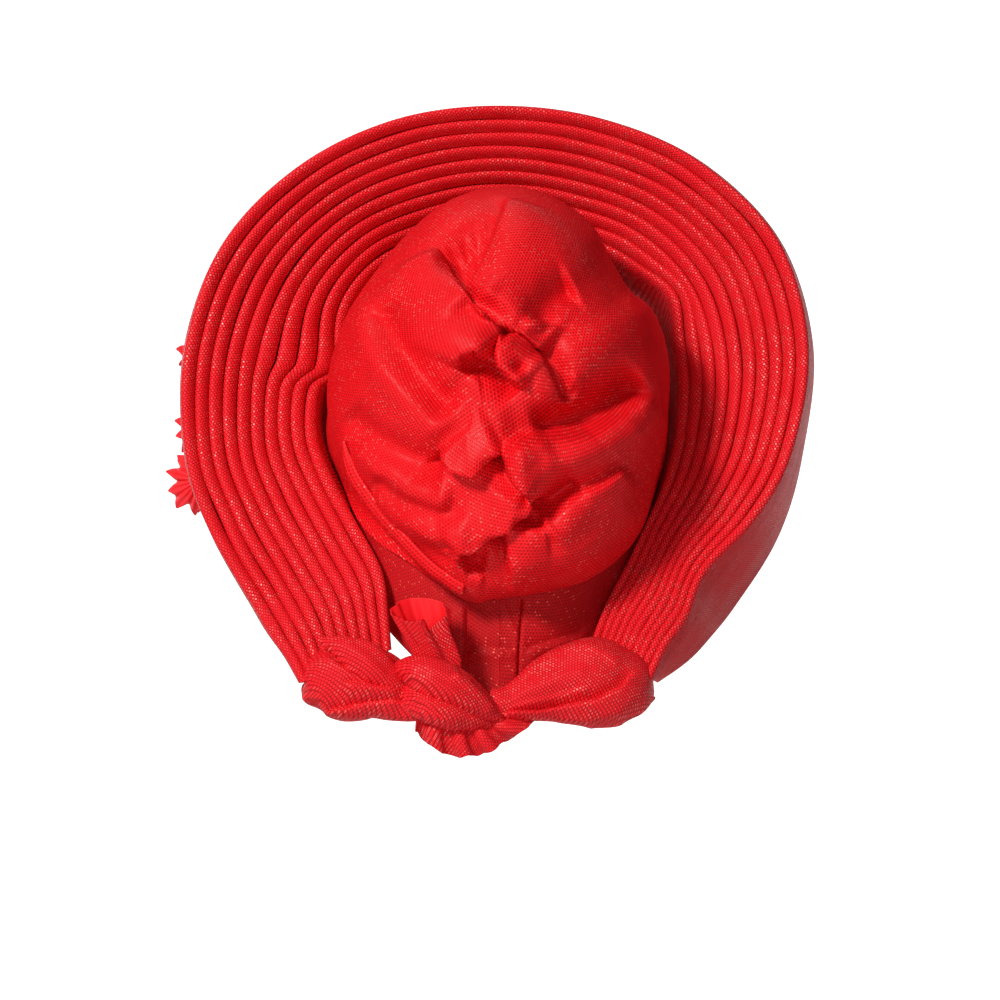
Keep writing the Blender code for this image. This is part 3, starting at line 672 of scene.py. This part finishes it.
def makeFan():
    stations = fan["stations"]
    last = len(fanRows) - 1.0
    sections = [fanSection(last * station / stations) for station in range(stations + 1)]
    points = numpy.array([[tuple(point) for point in section[0]] for section in sections])
    layout = rollLengths(points, sections[0][1])
    piece = gridSheet("pleatedCloth", points, fan["wall"], ["fanNet"], uv=[layout])
    dress(piece, "pleated_fan", fan["flatWidth"], points)


makeFan()
print("fan is made")


# back bag: a ruched dome, its folds drawn as lines on the seen grid

bagRows = table(
    ("angle", "reach", "edgeY"),
    (-180, 0.985, -0.400),
    (-172, 1.025, -0.380),
    (-160, 0.985, -0.350),
    (-142, 0.934, -0.275),
    (-127, 0.940, -0.210),
    (-109, 0.975, -0.165),
    (-92, 0.995, -0.142),
    (-77, 0.975, -0.132),
    (-50, 0.930, -0.105),
    (-34, 0.947, -0.086),
    (-17, 0.990, -0.072),
    (4, 1.020, -0.063),
    (20, 1.006, -0.074),
    (34, 0.975, -0.086),
    (44, 0.915, -0.098),
    (56, 0.900, -0.110),
    (65, 0.965, -0.122),
    (78, 0.985, -0.135),
    (97, 0.970, -0.150),
    (115, 0.990, -0.180),
    (131, 1.050, -0.230),
    (149, 1.038, -0.305),
    (165, 0.995, -0.365),
    (180, 0.985, -0.400),
)
rimPlaces = table(
    ("angle", "place"),
    (-150, 2.0), (-130, 3.0), (-115, 4.0), (-100, 5.0), (-80, 6.0), (-60, 7.0), (-40, 8.0),
    (-20, 9.0), (0, 10.0), (20, 11.0), (40, 12.0), (60, 13.0), (80, 14.0), (100, 15.0), (115, 16.0),
    (130, 17.0), (150, 18.0),
)
bag = {"cells": 214, "wall": 0.0009, "back": 0.1130, "outline": 0.80, "roundness": 0.75,
       "crumple": 0.0005, "crumples": 90.0, "relief": 1.25, "edgeRelief": 0.10, "reliefGrowth": 4.0,
       "tuckEase": 1.3, "unroll": 0.6, "flatWidth": 0.34}
# the rim lies inside the fan's inner wall at the sides, and over the band at the nape
rimSeat = {"away": 0.0034, "lowAway": 0.0015, "lowFrom": 84.0, "lowTo": 100.0, "bulgeShare": 0.56,
           "depth": 0.28, "bandFrom": 124.0, "bandTo": 152.0, "upBand": 0.86, "overBand": 0.0026}

bagFolds = (
    crease(((515, 192), (507, 218), (496, 246), (482, 272), (467, 298)), 9.0, 22, 3.2, 4.0, 9, -1, 1.0),
    crease(((430, 243), (440, 264), (455, 289), (470, 309), (484, 322), (505, 346)),
           10.0, 24, 2.2, 4.0, 9, 1, 2.2),
    crease(((467, 297), (483, 318), (492, 323), (506, 323), (526, 333), (550, 352)),
           6.5, 14, 2.0, 6.0, 7, -1, 1.8),
    crease(((506, 330), (524, 340), (537, 356), (549, 378), (563, 408)), 5.0, 9, 2.4, 3.5, 7, 1, 0.8),
    crease(((502, 332), (500, 352), (505, 371), (525, 390)), 3.5, 6, 1.2, 4.0, 5, -1, 1.4),
    crease(((453, 370), (460, 355), (475, 350), (491, 356), (509, 368), (527, 384)),
           5.5, 13, 2.2, 6.0, 8, -1, 1.6),
    crease(((440, 446), (455, 464), (474, 469), (488, 457), (505, 448)), 5.5, 15, 2.4, 5.0, 9, -1, 1.2),
    crease(((436, 468), (471, 475), (501, 482), (529, 498)), 5.0, 9, 7, 0.0, 5, 0),
    crease(((531, 494), (526, 508), (509, 522), (490, 533), (471, 547), (452, 556)),
           5.5, 14, 2.2, 6.0, 8, 1, 1.4),
    crease(((456, 544), (457, 562), (466, 575), (486, 578)), 3.5, 8, 1.4, 4.5, 5, 1, 1.2),
    crease(((500, 450), (532, 446), (570, 444), (592, 441), (608, 431), (626, 420), (660, 392)),
           8.5, 15, 4.0, 4.0, 12, 1, 1.5),
    crease(((502, 446), (513, 474), (526, 486), (533, 503)), 5.0, 10, 2.2, 5.0, 6, -1, 1.0),
    crease(((505, 524), (512, 556), (514, 575), (516, 602)), 5.5, 16, 2.6, 4.0, 7, -1, 0.8),
    crease(((506, 527), (526, 531), (548, 529)), 3.0, 8, 1.3, 5.0, 4, 1, 1.4),
    crease(((540, 531), (562, 513), (581, 497), (604, 485), (628, 466)), 5.0, 10, 3, 2.0, 7, 1, 1.0),
    soften(((533, 434), (562, 421), (593, 410), (624, 395), (648, 374)), -9.0, 9.5),
    soften(((539, 521), (549, 506), (561, 495), (579, 481)), -6.0, 6.5),
    soften(((573, 285), (556, 295), (545, 309), (540, 326)), -6.5, 8.0),
    soften(((540, 322), (548, 345), (555, 370), (564, 405)), -4.0, 6.5),
    soften(((352, 288), (366, 330), (392, 372), (424, 410), (450, 440)), 4.6, 8.0),
    soften(((378, 300), (396, 344), (424, 384), (456, 416)), -6.5, 8.0),
    soften(((340, 410), (375, 440), (410, 458), (448, 466)), -5.6, 8.0),
    soften(((350, 444), (376, 464), (412, 486), (456, 500)), 4.4, 6.5),
    soften(((366, 492), (400, 518), (440, 530), (474, 526)), 3.4, 8.0),
    soften(((390, 536), (425, 552), (454, 562)), -3.4, 6.0),
    soften(((372, 476), (404, 502), (440, 514), (470, 512)), -3.2, 5.0),
    soften(((577, 372), (572, 388), (563, 408)), 1.8, 2.6),
    soften(((584, 376), (580, 394), (572, 412)), 1.0, 2.0),
    soften(((440, 240), (452, 260), (462, 282)), 0.9, 1.6),
    soften(((453, 232), (464, 256), (471, 276)), 0.9, 1.6),
    soften(((466, 222), (476, 248), (480, 264)), 0.9, 1.6),
    soften(((480, 212), (489, 234), (491, 246)), 0.9, 1.6),
    soften(((494, 203), (500, 216), (501, 226)), 0.8, 1.5),
    soften(((536, 460), (565, 458), (600, 446), (640, 424)), 1.4, 4.0),
    soften(((520, 600), (560, 575), (610, 545), (645, 500)), 1.6, 12.0),
)
# a swell has its middle on the seen grid, two reaches in steps, a turn in degrees and a rise in millimetres
bagSwells = table(
    ("at", "reach", "turn", "rise"),
    ((466, 252), (24, 38), -30, -11.0),
    ((440, 262), (5, 11), 25, -5.0),
    ((521, 367), (7, 5), -35, -4.5),
    ((495, 459), (12, 6), 10, -5.0),
    ((522, 523), (5, 8), 20, -6.5),
    ((498, 543), (8, 11), 40, -5.5),
    ((472, 367), (15, 7), 10, -4.0),
    ((612, 376), (34, 17), 30, -4.0),
    ((556, 250), (42, 38), -40, 4.5),
    ((385, 360), (50, 80), 10, 3.5),
    ((600, 330), (33, 42), 0, 3.0),
    ((580, 560), (50, 35), -30, 3.0),
    ((420, 520), (50, 35), 25, 3.0),
)
flankRows = table(
    ("z", "x"),
    (262, 690), (276, 650), (290, 632), (320, 637), (350, 645), (380, 658), (420, 666), (460, 690),
)


def bagRim(angle):
    last = rimPlaces[-1]["angle"]
    turned = abs(angle)
    place = readRows(rimPlaces, "place", placeOf(rimPlaces, "angle", min(max(angle, -last), last)))
    inner, outer, frontInner, frontOuter = fanCorners(place)
    away = mix(rimSeat["away"], rimSeat["lowAway"], ease(rimSeat["lowFrom"], rimSeat["lowTo"], turned))
    away += rimSeat["bulgeShare"] * max(bulgeAt(place), 0.0)
    under = inner.lerp(frontInner, rimSeat["depth"]) - (outer - inner).normalized() * away
    over = bandMiddle(90.0 - angle, rimSeat["upBand"]) + bandOutward(90.0 - angle) * rimSeat["overBand"]
    return under.lerp(over, ease(rimSeat["bandFrom"], rimSeat["bandTo"], turned))


def bagBase(discX, discZ):
    radius = min(math.hypot(discX, discZ), 1.0)
    angle = math.degrees(math.atan2(discX, discZ)) if radius > 1e-9 else 0.0
    place = placeOf(bagRows, "angle", angle)
    edgeY = readRows(bagRows, "edgeY", place) * headLength
    dome = min(radius / bag["outline"], 1.0)
    turn = mix(dome * math.pi / 2.0, math.asin(dome), bag["roundness"])
    out = readRows(bagRows, "reach", place) * math.sin(turn)
    point = Vector((out * math.sin(math.radians(angle)) * bagHalfWidth,
                    edgeY - (edgeY + bag["back"]) * math.cos(turn),
                    (out * math.cos(math.radians(angle)) - 1.0) * bagHalfHeight))
    outward = (point - Vector((0.0, edgeY, -bagHalfHeight))).normalized()
    outward = (outward * 0.4 + Vector((0.0, -0.6, 0.0))).normalized()  # the folds rise mostly backwards
    return point, outward, dome, angle, radius


def closer(share):  # crowds the cells towards the middle
    return 0.80 * share + 0.20 * share ** 9


def bagPoints(cells):
    base = numpy.zeros((cells + 1, cells + 1, 3))
    outward = numpy.zeros_like(base)
    rim = numpy.zeros_like(base)
    fade = numpy.zeros((cells + 1, cells + 1))
    tuck = numpy.zeros_like(fade)
    for column in range(cells + 1):
        across = closer(2.0 * column / cells - 1.0)
        for row in range(cells + 1):
            up = closer(2.0 * row / cells - 1.0)
            discX = across * math.sqrt(1.0 - 0.5 * up * up)
            discZ = up * math.sqrt(1.0 - 0.5 * across * across)
            point, away, dome, angle, radius = bagBase(discX, discZ)
            base[column, row] = point
            outward[column, row] = away
            fade[column, row] = min(1.0, bag["reliefGrowth"] * (1.0 - dome) + bag["edgeRelief"])
            if radius > bag["outline"]:
                tuck[column, row] = (radius - bag["outline"]) / (1.0 - bag["outline"])
                rim[column, row] = bagRim(angle)
    rise, leanX, leanZ = foldField(base[:, :, 0], base[:, :, 2], bagFolds, bagSwells)
    points = base + outward * (bag["relief"] * rise * fade)[:, :, None]
    points[:, :, 0] += leanX * fade
    points[:, :, 2] += leanZ * fade
    share = numpy.stack([tuck ** bag["tuckEase"], tuck, tuck ** bag["tuckEase"]], axis=2)
    unfoldedY = base[:, :, 1] * (1.0 - tuck) + rim[:, :, 1] * tuck
    return points * (1.0 - share) + rim * share, tuck, unfoldedY


def inside(outline, x, z):
    within = False
    for (startX, startZ), (endX, endZ) in zip(outline, outline[1:] + outline[:1]):
        if (startZ > z) != (endZ > z):
            crossing = startX + (z - startZ) / (endZ - startZ) * (endX - startX)
            within = within != (x < crossing)
    return within


# panels of the bag whose weave runs its own way: turn in radians and outline on the seen grid
bagPanels = (
    {"turn": 0.90, "outline": ((405, 225), (430, 243), (441, 266), (455, 289), (470, 309), (484, 322),
                               (470, 300), (482, 272), (496, 246), (507, 218), (515, 192), (505, 178),
                               (440, 190))},
    {"turn": -0.12, "outline": ((515, 178), (515, 192), (507, 218), (496, 246), (482, 272), (467, 298),
                                (483, 318), (506, 326), (526, 333), (550, 352), (563, 408), (593, 414),
                                (624, 399), (648, 380), (720, 360), (720, 178))},
    {"turn": -0.60, "outline": ((453, 370), (470, 352), (505, 332), (527, 384), (563, 408), (533, 437),
                                (505, 448), (474, 440), (452, 420))},
)
sweep = {"x": 560.0, "z": 290.0, "radius": 265.0}  # elsewhere the weave bends round this middle, in steps


def bagLayouts(points, unfoldedY):  # the cloth laid out flat, once for the sweep and once for each panel
    reach = numpy.maximum(numpy.hypot(points[:, :, 0], points[:, :, 2] + bagHalfHeight), 0.02)
    unrolled = 1.0 + bag["unroll"] * numpy.maximum(unfoldedY + bag["back"], 0.0) / reach
    laidX = points[:, :, 0] * unrolled
    laidZ = (points[:, :, 2] + bagHalfHeight) * unrolled - bagHalfHeight
    across, down = onGrid(laidX, laidZ)
    turned = numpy.arctan2(across - sweep["x"], down - sweep["z"]) * sweep["radius"]
    away = numpy.hypot(across - sweep["x"], down - sweep["z"])
    layouts = [(turned * step * 0.001, away * step * 0.001)]
    for own in bagPanels:
        sine, cosine = math.sin(own["turn"]), math.cos(own["turn"])
        layouts.append((laidX * cosine - laidZ * sine, laidX * sine + laidZ * cosine))
    return layouts


def makeBag():
    points, tuck, unfoldedY = bagPoints(bag["cells"])
    for column in range(points.shape[0]):
        for row in range(points.shape[1]):
            wave = bag["crumple"] * noise.noise(Vector(points[column, row] * bag["crumples"]))
            points[column, row, 1] -= wave * (1.0 - tuck[column, row])
    across, down = onGrid(points[:, :, 0], points[:, :, 2])

    def panelOf(middle):
        for index, own in enumerate(bagPanels):
            if inside(own["outline"], across[middle], down[middle]):
                return index + 1
        return 0

    def plainFlank(middle):
        height = down[middle]
        edge = readRows(flankRows, "x", placeOf(flankRows, "z", height))
        return 1 if edge < across[middle] and flankRows[0]["z"] < height < flankRows[-1]["z"] else 0

    piece = gridSheet("ruchedBag", points, bag["wall"], ["bagNet", "plainSatin", "plainSatin"],
                      uv=bagLayouts(points, unfoldedY), second=plainFlank, lining=True, panel=panelOf)
    dress(piece, "back_bag", bag["flatWidth"], points)


makeBag()
print("bag is made")


# binding along the bag's lower left edge

binding = {"columns": 90, "rows": 8, "wall": 0.0016, "width": 0.0066, "from": -105.0, "to": -168.0,
           "radial": 0.715, "overBag": 0.0012, "roll": 0.0011, "across": 0.80, "back": 0.55,
           "startWidth": 0.2, "widening": 5.0, "flatWidth": 0.0101}


def makeBinding():
    points = numpy.zeros((binding["columns"] + 1, binding["rows"] + 1, 3))
    for column in range(binding["columns"] + 1):
        along = column / binding["columns"]
        angle = math.radians(mix(binding["from"], binding["to"], along))
        spoke = Vector((math.sin(angle), 0.0, math.cos(angle)))
        point, outward = bagBase(binding["radial"] * spoke.x, binding["radial"] * spoke.z)[:2]
        foot = point + outward * binding["overBag"]
        for row in range(binding["rows"] + 1):
            share = row / binding["rows"] * min(1.0, binding["startWidth"] + binding["widening"] * along)
            back = binding["back"] * binding["width"] * share - binding["roll"] * math.sin(math.pi * share)
            points[column, row] = (foot + spoke * binding["across"] * binding["width"] * share
                                   + Vector((0.0, back, 0.0)))
    piece = gridSheet("boundStrip", points, binding["wall"], ["bagNet"], even=True)
    dress(piece, "bag_binding", binding["flatWidth"], points)


makeBinding()
print("binding is made")


# wings: the fan's ends, wrapped over and drawn to the knot, each a puffed roll of cloth with its folds

def scaleAt(y):  # millimetres that one step of the picture covers, at a depth in millimetres
    return view["across"] * (1.0 + y / (view["distance"] * 1000.0))


def fromPicture(x, z, y):  # a seen place, and its depth in millimetres, in metres
    return Vector(((x - gridMiddle) * scaleAt(y), y, eyeLevel + (gridMiddle - z) * scaleAt(y))) * 0.001


puff = {"wall": 0.0009, "sharpness": 0.8, "sunk": 0.3, "endFade": 0.4, "uneven": 0.03, "nearDepth": 0.006,
        "laidDepth": 0.4}


def rollPoints(roll):
    rows, columns, ring = roll["rows"], roll["columns"], roll["ring"]
    points = numpy.zeros((columns + 1, ring + 1, 3))
    last = len(rows) - 1.0
    for column in range(columns + 1):
        share = column / columns
        place = last * share
        x, z, y, wide, deep = [readRows(rows, key, place) for key in ("x", "z", "y", "wide", "deep")]
        before, after = max(place - 0.15, 0.0), min(place + 0.15, last)
        ahead = (readRows(rows, "x", after) - readRows(rows, "x", before),
                 readRows(rows, "z", after) - readRows(rows, "z", before))
        length = math.hypot(*ahead)
        up = Vector((ahead[1] / length, 0.0, ahead[0] / length)) * (wide * scaleAt(y) * 0.001)
        out = Vector((0.0, -deep * 0.001, 0.0))
        middle = fromPicture(x, z, y)
        for row in range(ring + 1):
            turn = 2.0 * math.pi * row / ring
            wave = math.cos(roll["ridges"] * turn + roll["twist"] * share)
            wave = math.copysign(abs(wave) ** puff["sharpness"], wave) - puff["sunk"]
            spot = Vector((share * 5.0, math.cos(turn) * 1.7, math.sin(turn) * 1.7 + roll["ridges"]))
            crest = (1.0 + roll["ridge"] * wave * math.sin(math.pi * share) ** puff["endFade"]
                     + puff["uneven"] * noise.noise(spot))
            points[column, row] = middle + (up * math.sin(turn) + out * math.cos(turn)) * crest
    return points


def pressFolds(points, middleY, folds):  # folds stand out towards the viewer on the near side only
    rise, leanX, leanZ = foldField(points[:, :, 0], points[:, :, 2], folds, ())
    near = numpy.clip((middleY * 0.001 - points[:, :, 1]) / puff["nearDepth"], 0.0, 1.0)
    points[:, :, 0] += leanX * near
    points[:, :, 1] -= rise * near
    points[:, :, 2] += leanZ * near


def rollRows(*rows):  # middle and depth on the seen grid, and half widths across and in depth
    return table(("x", "z", "y", "wide", "deep"), *rows)


leftWrap = {
    "name": "leftWrap", "node": "left_wing", "middleY": -76, "columns": 130, "ring": 150, "ridges": 7.0,
    "ridge": 0.02, "twist": 0.6, "flatWidth": 0.13, "restsOn": ["pleatedCloth"],
    "rows": rollRows((302, 690, -68, 0.5, 0.5), (303, 690, -68, 5, 4), (308, 690, -70, 16, 9),
                     (320, 686, -72, 30, 14), (340, 683, -73, 38, 16), (362, 683, -74, 38, 16),
                     (380, 687, -76, 34, 14), (396, 695, -79, 27, 10), (412, 702, -83, 20, 7),
                     (426, 706, -86, 14, 5)),
    "folds": (
        crease(((318, 655), (336, 668), (358, 681), (380, 690), (405, 696)), 3.4, 9, 1.3, 3.0, 4, 1, 1.2),
        crease(((330, 640), (361, 660), (382, 674), (404, 688)), 3.0, 8, 1.3, 2.8, 4, 1, 1.2),
        crease(((340, 685), (362, 690), (386, 693), (412, 698)), 1.8, 5, 1.2, 2.0, 3, 1, 0.8),
        crease(((322, 716), (342, 713), (366, 707), (392, 706), (420, 709)), 1.8, 5, 1.3, 2.2, 4, 1, 0.8),
        soften(((352, 699), (372, 699), (408, 702)), 0.9, 2.4),
        soften(((312, 676), (326, 684), (350, 694)), -0.9, 4.0),
    ),
}
leftCollar = {
    "name": "leftCollar", "node": "left_wing", "middleY": -84, "columns": 80, "ring": 70, "ridges": 5.0,
    "ridge": 0.02, "twist": 0.4, "flatWidth": 0.05, "restsOn": ["leftWrap"],
    "rows": rollRows((322, 641, -79, 3, 2), (338, 646, -85, 10, 5), (356, 655, -88, 17, 7),
                     (374, 667, -89, 19, 8), (390, 680, -88, 13, 7), (404, 690, -86, 7, 5)),
    "folds": (
        soften(((336, 640), (360, 655), (388, 678)), 0.8, 2.6),
        soften(((352, 640), (372, 654), (392, 675)), -0.7, 2.2),
    ),
}
rightWrap = {
    "name": "rightWrap", "node": "right_wing", "middleY": -78, "columns": 170, "ring": 150, "ridges": 5.0,
    "ridge": 0.015, "twist": 0.8, "flatWidth": 0.12, "restsOn": ["pleatedCloth"],
    "rows": rollRows((490, 702, -87, 12, 5), (508, 703, -86, 17, 7), (528, 698, -82, 25, 11),
                     (549, 690, -78, 34, 14), (570, 685, -76, 40, 16), (592, 683, -74, 45, 18),
                     (612, 686, -73, 42, 18), (631, 690, -72, 35, 16), (645, 695, -71, 21, 11),
                     (652, 697, -70, 6, 4), (653, 697, -70, 0.5, 0.5)),
    "folds": (
        crease(((498, 717), (541, 716), (573, 710), (600, 704), (626, 690), (640, 672)),
               3.0, 12, 1.3, 3.4, 5, 1, 1.6),
        crease(((502, 707), (530, 690), (560, 676), (590, 668)), 1.2, 6.0, 3.0, 0.6, 4, 1),
        crease(((503, 712), (535, 703), (566, 697), (592, 688)), 1.4, 5.0, 2.0, 0.8, 4, 1, 0.5),
        crease(((560, 650), (584, 646), (606, 654), (622, 668)), 1.2, 5.0, 3.0, 0.5, 4, -1),
        soften(((506, 699), (526, 680), (548, 664)), -0.9, 2.4),
        soften(((560, 724), (590, 722), (630, 712)), 0.8, 2.2),
    ),
}


def makeRoll(roll):
    points = rollPoints(roll)
    pressFolds(points, roll["middleY"], roll["folds"])
    laid = [points[:, :, axis] + puff["laidDepth"] * points[:, :, 1] for axis in (0, 2)]
    piece = gridSheet(roll["name"], points, puff["wall"], ["fanNet"], ring=True, uv=[laid])
    dress(piece, roll["node"], roll["flatWidth"], points)


for roll in (leftWrap, leftCollar, rightWrap):
    makeRoll(roll)
print("wings are made")


# knot: one band crossed over another, and the two tails that come out of it

knotBand = {
    "name": "knotBand", "node": "knot", "middleY": -92, "columns": 130, "ring": 96, "ridges": 5.0,
    "ridge": 0.03, "twist": 1.2, "flatWidth": 0.055, "restsOn": ["knotBulb"],
    "rows": rollRows((392, 673, -84, 3, 3), (400, 670, -90, 9, 6), (414, 671, -95, 16, 9),
                     (432, 677, -98, 19, 10), (452, 687, -98, 20, 10), (470, 698, -96, 17, 9),
                     (486, 709, -94, 11, 6), (497, 716, -92, 5, 3), (503, 720, -91, 1, 1)),
    "folds": (
        soften(((400, 663), (430, 668), (460, 680), (488, 704)), 0.9, 2.6),
        soften(((404, 673), (432, 682), (458, 695), (482, 712)), 0.8, 2.4),
        crease(((452, 672), (468, 681), (484, 697), (496, 712)), 1.4, 4.0, 1.1, 1.6, 3, 1, 0.6),
        soften(((410, 667), (434, 674), (462, 688), (486, 707)), -0.8, 1.6),
    ),
}
knotBulb = {
    "name": "knotBulb", "node": "knot", "middleY": -88, "columns": 120, "ring": 96, "ridges": 6.0,
    "ridge": 0.03, "twist": 1.4, "flatWidth": 0.055, "restsOn": ["rightWrap"],
    "rows": rollRows((400, 684, -82, 3, 3), (408, 690, -88, 12, 7), (422, 699, -92, 19, 10),
                     (440, 706, -93, 20, 11), (458, 712, -92, 18, 10), (474, 718, -90, 12, 8),
                     (488, 721, -88, 6, 5), (500, 722, -86, 2, 2)),
    "folds": (
        soften(((410, 694), (436, 706), (466, 722)), 1.0, 2.6),
        soften(((418, 708), (440, 718), (462, 724)), 0.9, 2.4),
        soften(((412, 701), (438, 712), (464, 723)), -0.9, 1.5),
    ),
}
makeRoll(knotBand)
makeRoll(knotBulb)


upperTail = {"columns": 150, "rows": 60, "wall": 0.0009, "flatWidth": 0.036, "foldAt": 0.62,
             "foldWide": 0.30, "foldDepth": 0.42, "foldDrop": 13.0, "tuckAt": 0.15, "tuckWide": 0.22,
             "tuckLift": 4.0}
# from the knot to the mouth: the middle, half widths across and in depth, the ruffle and the mouth's tip
tailRows = table(
    ("x", "z", "y", "wide", "deep", "ruffle", "tip"),
    (440, 672, -86, 20, 5.0, 0.10, 0.0),
    (438, 660, -87, 22, 6.0, 0.14, 0.0),
    (433, 645, -88, 22, 7.0, 0.16, 2.0),
    (425, 628, -90, 24, 8.0, 0.15, 6.0),
    (419, 610, -91, 27.5, 9.0, 0.12, 12.0),
)


def roundHump(turn, middle, wide):  # a hump on a closed round
    return hump(turn, middle, wide) + hump(turn, middle + 2.0 * math.pi, wide)


def makeUpperTail():
    points = numpy.zeros((upperTail["columns"] + 1, upperTail["rows"] + 1, 3))
    last = len(tailRows) - 1.0
    for column in range(upperTail["columns"] + 1):
        turn = 2.0 * math.pi * column / upperTail["columns"]
        front = math.cos(turn)
        fold = roundHump(turn, upperTail["foldAt"], upperTail["foldWide"])
        tuck = roundHump(turn, upperTail["tuckAt"], upperTail["tuckWide"])
        ruffles = math.cos(5.0 * turn + 0.7) * 0.5 + math.cos(11.0 * turn) * 0.25
        for row in range(upperTail["rows"] + 1):
            v = row / upperTail["rows"]
            own = {key: readRows(tailRows, key, last * v) for key in tailRows[0]}
            wave = 1.0 + own["ruffle"] * ruffles - upperTail["foldDepth"] * fold * v ** 0.5
            drop = own["tip"] * front
            drop += (upperTail["foldDrop"] * fold - upperTail["tuckLift"] * tuck) * v ** 3
            place = fromPicture(own["x"] + own["wide"] * math.sin(turn) * wave, own["z"] + drop, own["y"])
            place.y -= own["deep"] * 0.001 * front * wave
            points[column, row] = place
    piece = gridSheet("upperTail", points, upperTail["wall"], ["fanNet", "tailSatin"], ring=True,
                      lining=True)
    dress(piece, "upper_tail", upperTail["flatWidth"], points)


lowerTail = {"columns": 220, "rows": 44, "wall": 0.0009, "flatWidth": 0.030, "middleY": -88.5, "sag": 3.0,
             "foldDepth": 3.2, "folds": 9.0, "sharpness": 0.6, "topShare": 0.25, "hem": 1.2, "frill": 0.8}
hemRows = table(
    ("topX", "topZ", "lowX", "lowZ"),
    (420, 700, 415, 729), (428, 706, 421, 738), (438, 712, 436, 748), (448, 716, 452, 757),
    (458, 718, 466, 755), (466, 719, 479, 756), (474, 719, 493, 749), (482, 719, 506, 742),
    (492, 718, 521, 731), (502, 717, 536, 721),
)


def makeLowerTail():
    points = numpy.zeros((lowerTail["columns"] + 1, lowerTail["rows"] + 1, 3))
    last = len(hemRows) - 1.0
    for column in range(lowerTail["columns"] + 1):
        u = column / lowerTail["columns"]
        own = {key: readRows(hemRows, key, last * u) for key in hemRows[0]}
        for row in range(lowerTail["rows"] + 1):
            v = row / lowerTail["rows"]
            wave = math.cos(lowerTail["folds"] * math.pi * u + 0.6 * math.sin(3.0 * v))
            sharp = math.copysign(abs(wave) ** lowerTail["sharpness"], wave)
            y = lowerTail["middleY"] - lowerTail["sag"] * math.sin(math.pi * v)
            y -= lowerTail["foldDepth"] * sharp * mix(lowerTail["topShare"], 1.0, v)
            y += 0.5 * math.cos(31.0 * u) * v
            frill = lowerTail["hem"] * sharp * v + lowerTail["frill"] * math.cos(47.0 * u) * v ** 3
            points[column, row] = fromPicture(mix(own["topX"], own["lowX"], v),
                                              mix(own["topZ"], own["lowZ"], v) + frill, y)
    piece = gridSheet("lowerTail", points, lowerTail["wall"], ["fanNet"])
    dress(piece, "lower_tail", lowerTail["flatWidth"], points)


makeUpperTail()
makeLowerTail()
print("knot and tails are made")


# flowers on the far side, whose petals show at the left edge

flowers = table(
    ("name", "node", "place", "turn", "size", "lift", "inset"),
    ("upperFlower", "flower_upper", 5.92, 0.2, 0.74, 0.0002, 0.13),
    ("middleFlower", "flower_middle", 5.28, 0.9, 0.80, 0.00024, 0.13),
    ("lowerFlower", "flower_lower", 4.72, 0.5, 0.92, 0.00144, 0.06),
)
petal = {"wall": 0.0005, "radius": 0.020, "petals": 11, "columns": 180, "rows": 26, "offFan": 0.0015,
         "eye": 0.04, "notch": 0.26, "notchShape": 0.7, "uneven": 0.30, "ripple": 0.12, "crimp": 0.05,
         "crimps": 19.0}
layers = table(
    ("suffix", "size", "cup", "turn", "lift"),
    ("", 1.00, 0.50, 0.0, 0.0000),
    ("Middle", 0.76, 0.75, 0.5, 0.0012),
    ("Heart", 0.50, 1.10, 0.2, 0.0022),
)


def makeFlower(flower):
    inner, outer, frontInner, frontOuter = fanCorners(flower["place"])
    ahead = (frontOuter - outer).normalized()
    out = (frontOuter - frontInner).normalized()
    along = ahead.cross(out).normalized()
    seat = frontOuter.lerp(frontInner, flower["inset"]) + ahead * (petal["offFan"] + flower["lift"])
    for index, layer in enumerate(layers):
        points = numpy.zeros((petal["columns"] + 1, petal["rows"] + 1, 3))
        size = petal["radius"] * flower["size"] * layer["size"]
        for column in range(petal["columns"] + 1):
            own = 2.0 * math.pi * column / petal["columns"]
            angle = own + flower["turn"] + layer["turn"]
            way = out * math.cos(angle) + along * math.sin(angle)
            tip = 0.5 + 0.5 * math.cos(petal["petals"] * own)
            notch = petal["notch"] * (1.0 - tip) ** petal["notchShape"]
            spot = Vector((2.0 * math.cos(own), 2.0 * math.sin(own), 4.0 * index + flower["place"]))
            uneven = petal["uneven"] * noise.noise(spot)
            ripple = petal["ripple"] * math.cos(2.0 * petal["petals"] * own)
            crimp = petal["crimp"] * math.cos(petal["crimps"] * own + index)
            for row in range(petal["rows"] + 1):
                v = row / petal["rows"]
                radius = size * mix(petal["eye"], 1.0, v) * (1.0 - notch * v + uneven * v)
                cup = size * (layer["cup"] * v * v + ripple * v + crimp * v * v)
                points[column, row] = seat + ahead * (layer["lift"] + cup) + way * radius
        name = flower["name"] + layer["suffix"]
        piece = gridSheet(name, points, petal["wall"], ["petalSatin"], ring=True)
        dress(piece, flower["node"], round(2.0 * size, 3),
              points)


for flower in flowers:
    makeFlower(flower)
print("flowers are made")
